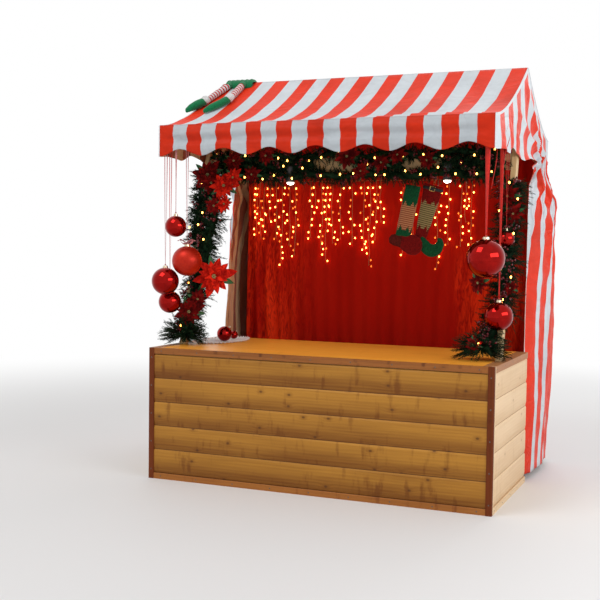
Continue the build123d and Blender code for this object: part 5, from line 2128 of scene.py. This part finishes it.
@dataclass
class Stocking:
    """One knitted stocking: cuff, striped leg and stuffed foot, hung by a loop."""

    hook: Vector
    tilt: float
    # where each band ends, and its slot
    bands: tuple[tuple[float, int], ...]
    # distance across, distance down and radius
    foot: Triples
    belt: bool = False
    taper: float = 0.0
    heel_share: float = 0.0
    start: float = 0.088
    leg: float = 0.335
    width: float = 0.098
    thickness: float = 0.023
    jag: float = 0.034

    def directions(self) -> tuple[Vector, Vector]:
        """Returns the stocking's own across and down directions."""
        lean = math.radians(self.tilt)
        return Vector((math.cos(lean), 0, math.sin(lean))), Vector((math.sin(lean), 0, -math.cos(lean)))

    def build_leg(self, maker: MeshMaker) -> None:
        """Adds the flat leg; a band's lower edge is jagged.

        Args:
            maker: The piece it joins.
        """
        across, down = self.directions()
        sides, rows = 48, 75
        begin = len(maker.points)
        for row in range(rows + 1):
            length = self.leg * row / rows
            narrow = 1 - self.taper * row / rows
            for k in range(sides):
                angle = FULL_TURN * k / sides
                cosine, sine = math.cos(angle), math.sin(angle)
                wide = self.width / 2 * narrow * math.copysign(abs(cosine) ** 0.6, cosine)
                deep = self.thickness / 2 * math.copysign(abs(sine) ** 0.8, sine)
                place = self.hook + down * (self.start + length) + across * wide + Vector((0, deep, 0))
                maker.point(place, (wide, length))

        def band(row: int, k: int) -> int:
            """Finds the band that a face is in.

            Args:
                row: Its row, from the top.
                k: Its place around.

            Returns:
                The band's slot.
            """
            tooth = abs((math.cos(FULL_TURN * (k + 0.5) / sides) * 1.5) % 1.0 - 0.5) * 2
            level = self.leg * (row + 0.5) / rows
            return next(slot for end, slot in self.bands if level < end + self.jag * (tooth - 0.5))

        maker.skin(begin, rows + 1, sides, band)
        maker.cap(begin, sides, self.bands[0][1], below=True)

    def build_foot(self, maker: MeshMaker) -> None:
        """Adds the stuffed foot along its middle line, given as across, down and radius.

        Args:
            maker: The piece it joins.
        """
        across, down = self.directions()
        route = [self.hook + across * right + down * low for right, low, _ in self.foot]
        path = smooth_path(route, 6)
        last = len(path) - 1
        stops = [(index / (len(self.foot) - 1), radius) for index, (_, _, radius) in enumerate(self.foot)]
        begin = len(maker.points)
        sides = 28
        for index, centre in enumerate(path):
            heading = (path[min(last, index + 1)] - path[max(0, index - 1)]).normalized()
            side = Vector((-heading.z, 0, heading.x))
            radius = curve_through(stops, index / last)
            deep = min(radius, self.thickness * 0.62)
            for k in range(sides):
                angle = FULL_TURN * k / sides
                place = centre + side * (radius * math.cos(angle)) + Vector((0, deep * math.sin(angle), 0))
                maker.point(place, (angle * 0.05, index * 0.004))
        heel_end = last * self.heel_share
        maker.skin(begin, last + 1, sides, lambda ring, _: Knit.HEEL if ring < heel_end else Knit.FOOT)
        maker.cap(begin, sides, Knit.HEEL if self.heel_share else Knit.FOOT, below=True)
        maker.cap(begin + last * sides, sides, Knit.FOOT)

    def build(self, maker: MeshMaker) -> None:
        """Adds the leg and foot, the belt where it has one, and the loop it hangs by.

        Args:
            maker: The piece they join.
        """
        across, down = self.directions()
        self.build_leg(maker)
        self.build_foot(maker)
        if self.belt:
            belt = self.hook + down * (self.start + 0.024)
            wide, deep = across * (self.width / 2 * 1.03), Vector((0, self.thickness * 0.56, 0))
            maker.tube(circle(belt, wide, deep, 40), [0.010] * 41, 6, Knit.STRAP, 0.22, down, False)
            buckle = belt + Vector((0, -self.thickness * 0.62, 0))
            corners = [buckle + across * (0.016 * a) + down * (0.014 * b)
                       for a, b in ((-1, -1), (1, -1), (1, 1), (-1, 1), (-1, -1))]
            maker.tube(corners, [0.0026] * 5, 6, Knit.BUCKLE, capped=False)
        loop = [self.hook + across * (0.004 * s) + down * (self.start * t)
                for s, t in ((1, 1.1), (1, 0.1), (0, 0.0), (-1, 0.1), (-1, 1.1))]
        maker.tube(loop, [0.0018] * 5, 6, Knit.LOOP)


@dataclass
class Stockings:
    """The pair of stockings under the cross beam."""

    beam_z: float = 1.9345
    thickness: float = 0.024

    def build(self) -> None:
        """Adds both stockings."""
        near = Stocking(
            Vector((0.421, BEAM_FACE + self.thickness * 0.5, self.beam_z)), -11.0,
            ((0.118, 0), (0.272, 1), (9.0, 0)),
            ((-0.084, 0.440, 0.010), (-0.070, 0.441, 0.030), (-0.040, 0.441, 0.038), (0.0, 0.436, 0.048),
             (0.040, 0.444, 0.058), (0.072, 0.450, 0.064), (0.104, 0.452, 0.056), (0.126, 0.453, 0.036),
             (0.134, 0.453, 0.010)),
            heel_share=0.36,
        )
        far = Stocking(
            Vector((0.552, BEAM_FACE + self.thickness * 1.5, self.beam_z)), -14.0,
            ((0.112, 0), (0.268, 1), (9.0, 0)),
            ((0.012, 0.405, 0.005), (0.017, 0.425, 0.020), (0.030, 0.452, 0.034), (0.058, 0.476, 0.038),
             (0.090, 0.482, 0.040), (0.118, 0.464, 0.036), (0.130, 0.434, 0.027), (0.125, 0.410, 0.018),
             (0.110, 0.400, 0.007)),
            belt=True, width=0.126, taper=0.42,
        )
        trims = ("strap_black", "buckle_gold", "cable", "felt_brown")
        for name, sock, colours in (
            ("stocking_left", near, ("dark_green", "knit_amber", "felt_red")),
            ("stocking_right", far, ("felt_red", "knit_olive", "dark_green")),
        ):
            maker = MeshMaker()
            sock.build(maker)
            piece = maker.build(f"{name}_knit", [*colours, *trims])
            attach(piece, "knit_wool", "stockings")


@dataclass
class ElfLegs:
    """A pair of stuffed legs in striped tights and pointed felt shoes, hanging over the ridge."""

    canopy: Canopy
    # x, share up the slope and radius
    legs: tuple[Triples, ...] = (
        ((-0.966, 0.925, 0.022), (-0.998, 0.83, 0.0215), (-1.021, 0.69, 0.0185)),
        ((-0.861, 0.925, 0.022), (-0.861, 0.83, 0.0215), (-0.853, 0.715, 0.0185)),
    )
    shoes: tuple[Triples, ...] = (
        ((-1.016, 0.715, 0.018), (-1.028, 0.675, 0.027), (-1.044, 0.635, 0.028), (-1.062, 0.595, 0.025),
         (-1.080, 0.562, 0.018), (-1.088, 0.548, 0.006)),
        ((-0.852, 0.735, 0.018), (-0.862, 0.690, 0.026), (-0.882, 0.640, 0.025), (-0.910, 0.585, 0.023),
         (-0.938, 0.540, 0.016), (-0.948, 0.525, 0.006)),
    )
    seat_start: float = -1.010
    seat_width: float = 0.206
    seat_share: float = 0.93
    seat_thickness: float = 0.024

    def on_roof(self, x: float, share: float, lift: float) -> Vector:
        """Finds a point over the front slope.

        Args:
            x: Its place across.
            share: Share of the way up the slope.
            lift: Its height over the slope.

        Returns:
            The point.
        """
        y, z, _ = self.canopy.slope(True, share)
        ahead_y, ahead_z, _ = self.canopy.slope(True, share + 0.01)
        tangent = Vector((0, ahead_y - y, ahead_z - z)).normalized()
        return Vector((x, y - lift * tangent.z, z + lift * tangent.y))

    def limb(self, maker: MeshMaker, stops: Triples, slot: int, swell: float) -> None:
        """Adds a round limb.

        Args:
            maker: The piece it joins.
            stops: Its place across, share up the slope and radius, from end to end.
            slot: The finish to use.
            swell: What its radii are multiplied by.
        """
        path = smooth_path([self.on_roof(x, share, radius * swell + 0.002) for x, share, radius in stops], 8)
        last = len(path) - 1
        widths = [(index / (len(stops) - 1), radius * swell) for index, (_, _, radius) in enumerate(stops)]
        maker.tube(path, [curve_through(widths, index / last) for index in range(last + 1)], 24, slot)

    def build(self) -> None:
        """Adds the breeches, tights, cuffs and shoes as one piece."""
        maker = MeshMaker()
        self.build_seat(maker)
        for leg, shoe in zip(self.legs, self.shoes):
            self.limb(maker, leg, 0, 1.0)
            thigh = ((leg[0][0], 0.950, 0.014), (leg[0][0], 0.935, 0.021), (leg[0][0], 0.915, 0.0225))
            self.limb(maker, thigh, 1, 1.05)
            x, share, radius = leg[-1]
            ruff = ((x, share + 0.038, radius * 1.25), (x, share + 0.022, radius * 1.55),
                    (x, share, radius * 1.55), (x, share - 0.012, radius * 1.2))
            self.limb(maker, ruff, 2, 1.0)
            self.limb(maker, shoe, 1, 1.0)
        piece = maker.build("elf_legs_cloth", ["elf_tights", "felt_green", "fluff_white"])
        attach(piece, "elf_cloth", "elf_legs")

    def build_seat(self, maker: MeshMaker) -> None:
        """Adds the breeches bunched over the ridge.

        Args:
            maker: The piece they join.
        """
        front = self.on_roof(0.0, self.seat_share, 0.001)
        ridge_y, ridge_z = self.canopy.ridge_y, self.canopy.ridge_z
        half = ridge_y - front.y
        drop = ridge_z - front.z

        def around(u: float, v: float) -> Vector:
            """Gives a point of the bunched cloth.

            Args:
                u: Share around, the first half over the top.
                v: Share along the ridge.

            Returns:
                The point.
            """
            x = self.seat_start + self.seat_width * v
            end = min(1.0, math.sin(math.pi * min(1.0, max(0.0, v))) * 5 + 0.25)
            crease = 1 + 0.10 * math.sin(v * 37) + 0.06 * math.sin(v * 71 + 2)
            if u < 0.5:
                turn = math.pi * u * 2
                reach = half * (0.90 + 0.10 * end)
                y = ridge_y - reach * math.cos(turn)
                z = ridge_z - drop + (drop + self.seat_thickness * 0.93 * end * crease) * math.sin(turn)
            else:
                share = (u - 0.5) * 2
                y = ridge_y + half * (1 - 2 * share)
                z = ridge_z + 0.001 - drop * abs(1 - 2 * share)
            return Vector((x, y, z))

        maker.grid(36, 40, around, None, 1, True)


@dataclass
class LaceMat:
    """An oval lace mat with a frilled edge, and the two balls lying on it."""

    centre: tuple[float, float] = (-0.900, -0.190)
    half_width: float = 0.145
    half_length: float = 0.280
    frill: float = 0.022
    # x, y and radius
    balls: Triples = ((-0.865, -0.250, 0.050), (-0.890, -0.060, 0.028))

    def point(self, u: float, v: float) -> Vector:
        """Finds a point of the mat.

        Args:
            u: Share around.
            v: Share outwards.

        Returns:
            The point.
        """
        angle = FULL_TURN * u
        flat, edge = 0.72, 0.28
        inner = 1 - self.frill / self.half_width
        share = max(0.0, v - flat) / edge
        reach = v / flat * inner if v < flat else mix(inner, 1.0, share)
        reach *= 1 - 0.015 * share * (1 + math.cos(angle * 44))
        rise = share * (0.007 + 0.005 * math.sin(angle * 44))
        scallop = 1 - 0.02 * (v > 0.95) * abs(math.sin(angle * 22))
        x = self.centre[0] + self.half_width * reach * math.cos(angle) * scallop
        y = self.centre[1] + self.half_length * reach * math.sin(angle) * scallop
        return Vector((x, y, COUNTER_TOP + 0.0012 + rise + 0.0008 * math.sin(angle * 18) * v))

    def build(self) -> None:
        """Adds the mat and the balls."""
        maker = MeshMaker()
        maker.grid(352, 24, self.point, lambda u, v: (u, v), 0, True)
        mat = maker.build("lace_mat_cloth", ["lace_white"])
        thicken(mat, 0.0012, 1.0)
        attach(mat, "white_lace", "lace_mat")
        for index, (x, y, radius) in enumerate(self.balls):
            ball = MeshMaker()
            centre = Vector((x, y, COUNTER_TOP + 0.003 + radius))
            ball.ball(centre, radius, 0, 48, 28)
            lean = Vector((0.55, 0.35, 0.75)).normalized()
            neck = centre + lean * radius * 0.97
            ball.tube([neck, neck + lean * radius * 0.22], [radius * 0.19, radius * 0.17], 20, 1)
            ring = neck + lean * radius * 0.27
            side = lean.cross(UP).normalized()
            loop = circle(ring, side * (radius * 0.1), lean * (radius * 0.1), 12)
            ball.tube(loop, [radius * 0.014] * len(loop), 5, 1)
            attach(ball.build(f"counter_ball_{index + 1}", ["red_gloss", "ball_cap"]), "red_gloss_ball",
                   "counter_balls")


def main() -> None:
    """Builds the camera and the cords first, then the stall from the counter up."""
    logging.basicConfig(level=logging.INFO, format="%(name)s: %(message)s")
    PhotoCamera().build()
    LightString().build()
    Counter().build()
    Framework().build()
    canopy = Canopy()
    canopy.build()
    SideTarpaulins().build()
    VelvetCurtain().build()
    Garlands().build()
    for ball in HANGING_BALLS:
        ball.build()
    LaceMat().build()
    Spotlights().build()
    Stockings().build()
    ElfLegs(canopy).build()
    Studio().build()


if __name__ == "__main__":
    main()
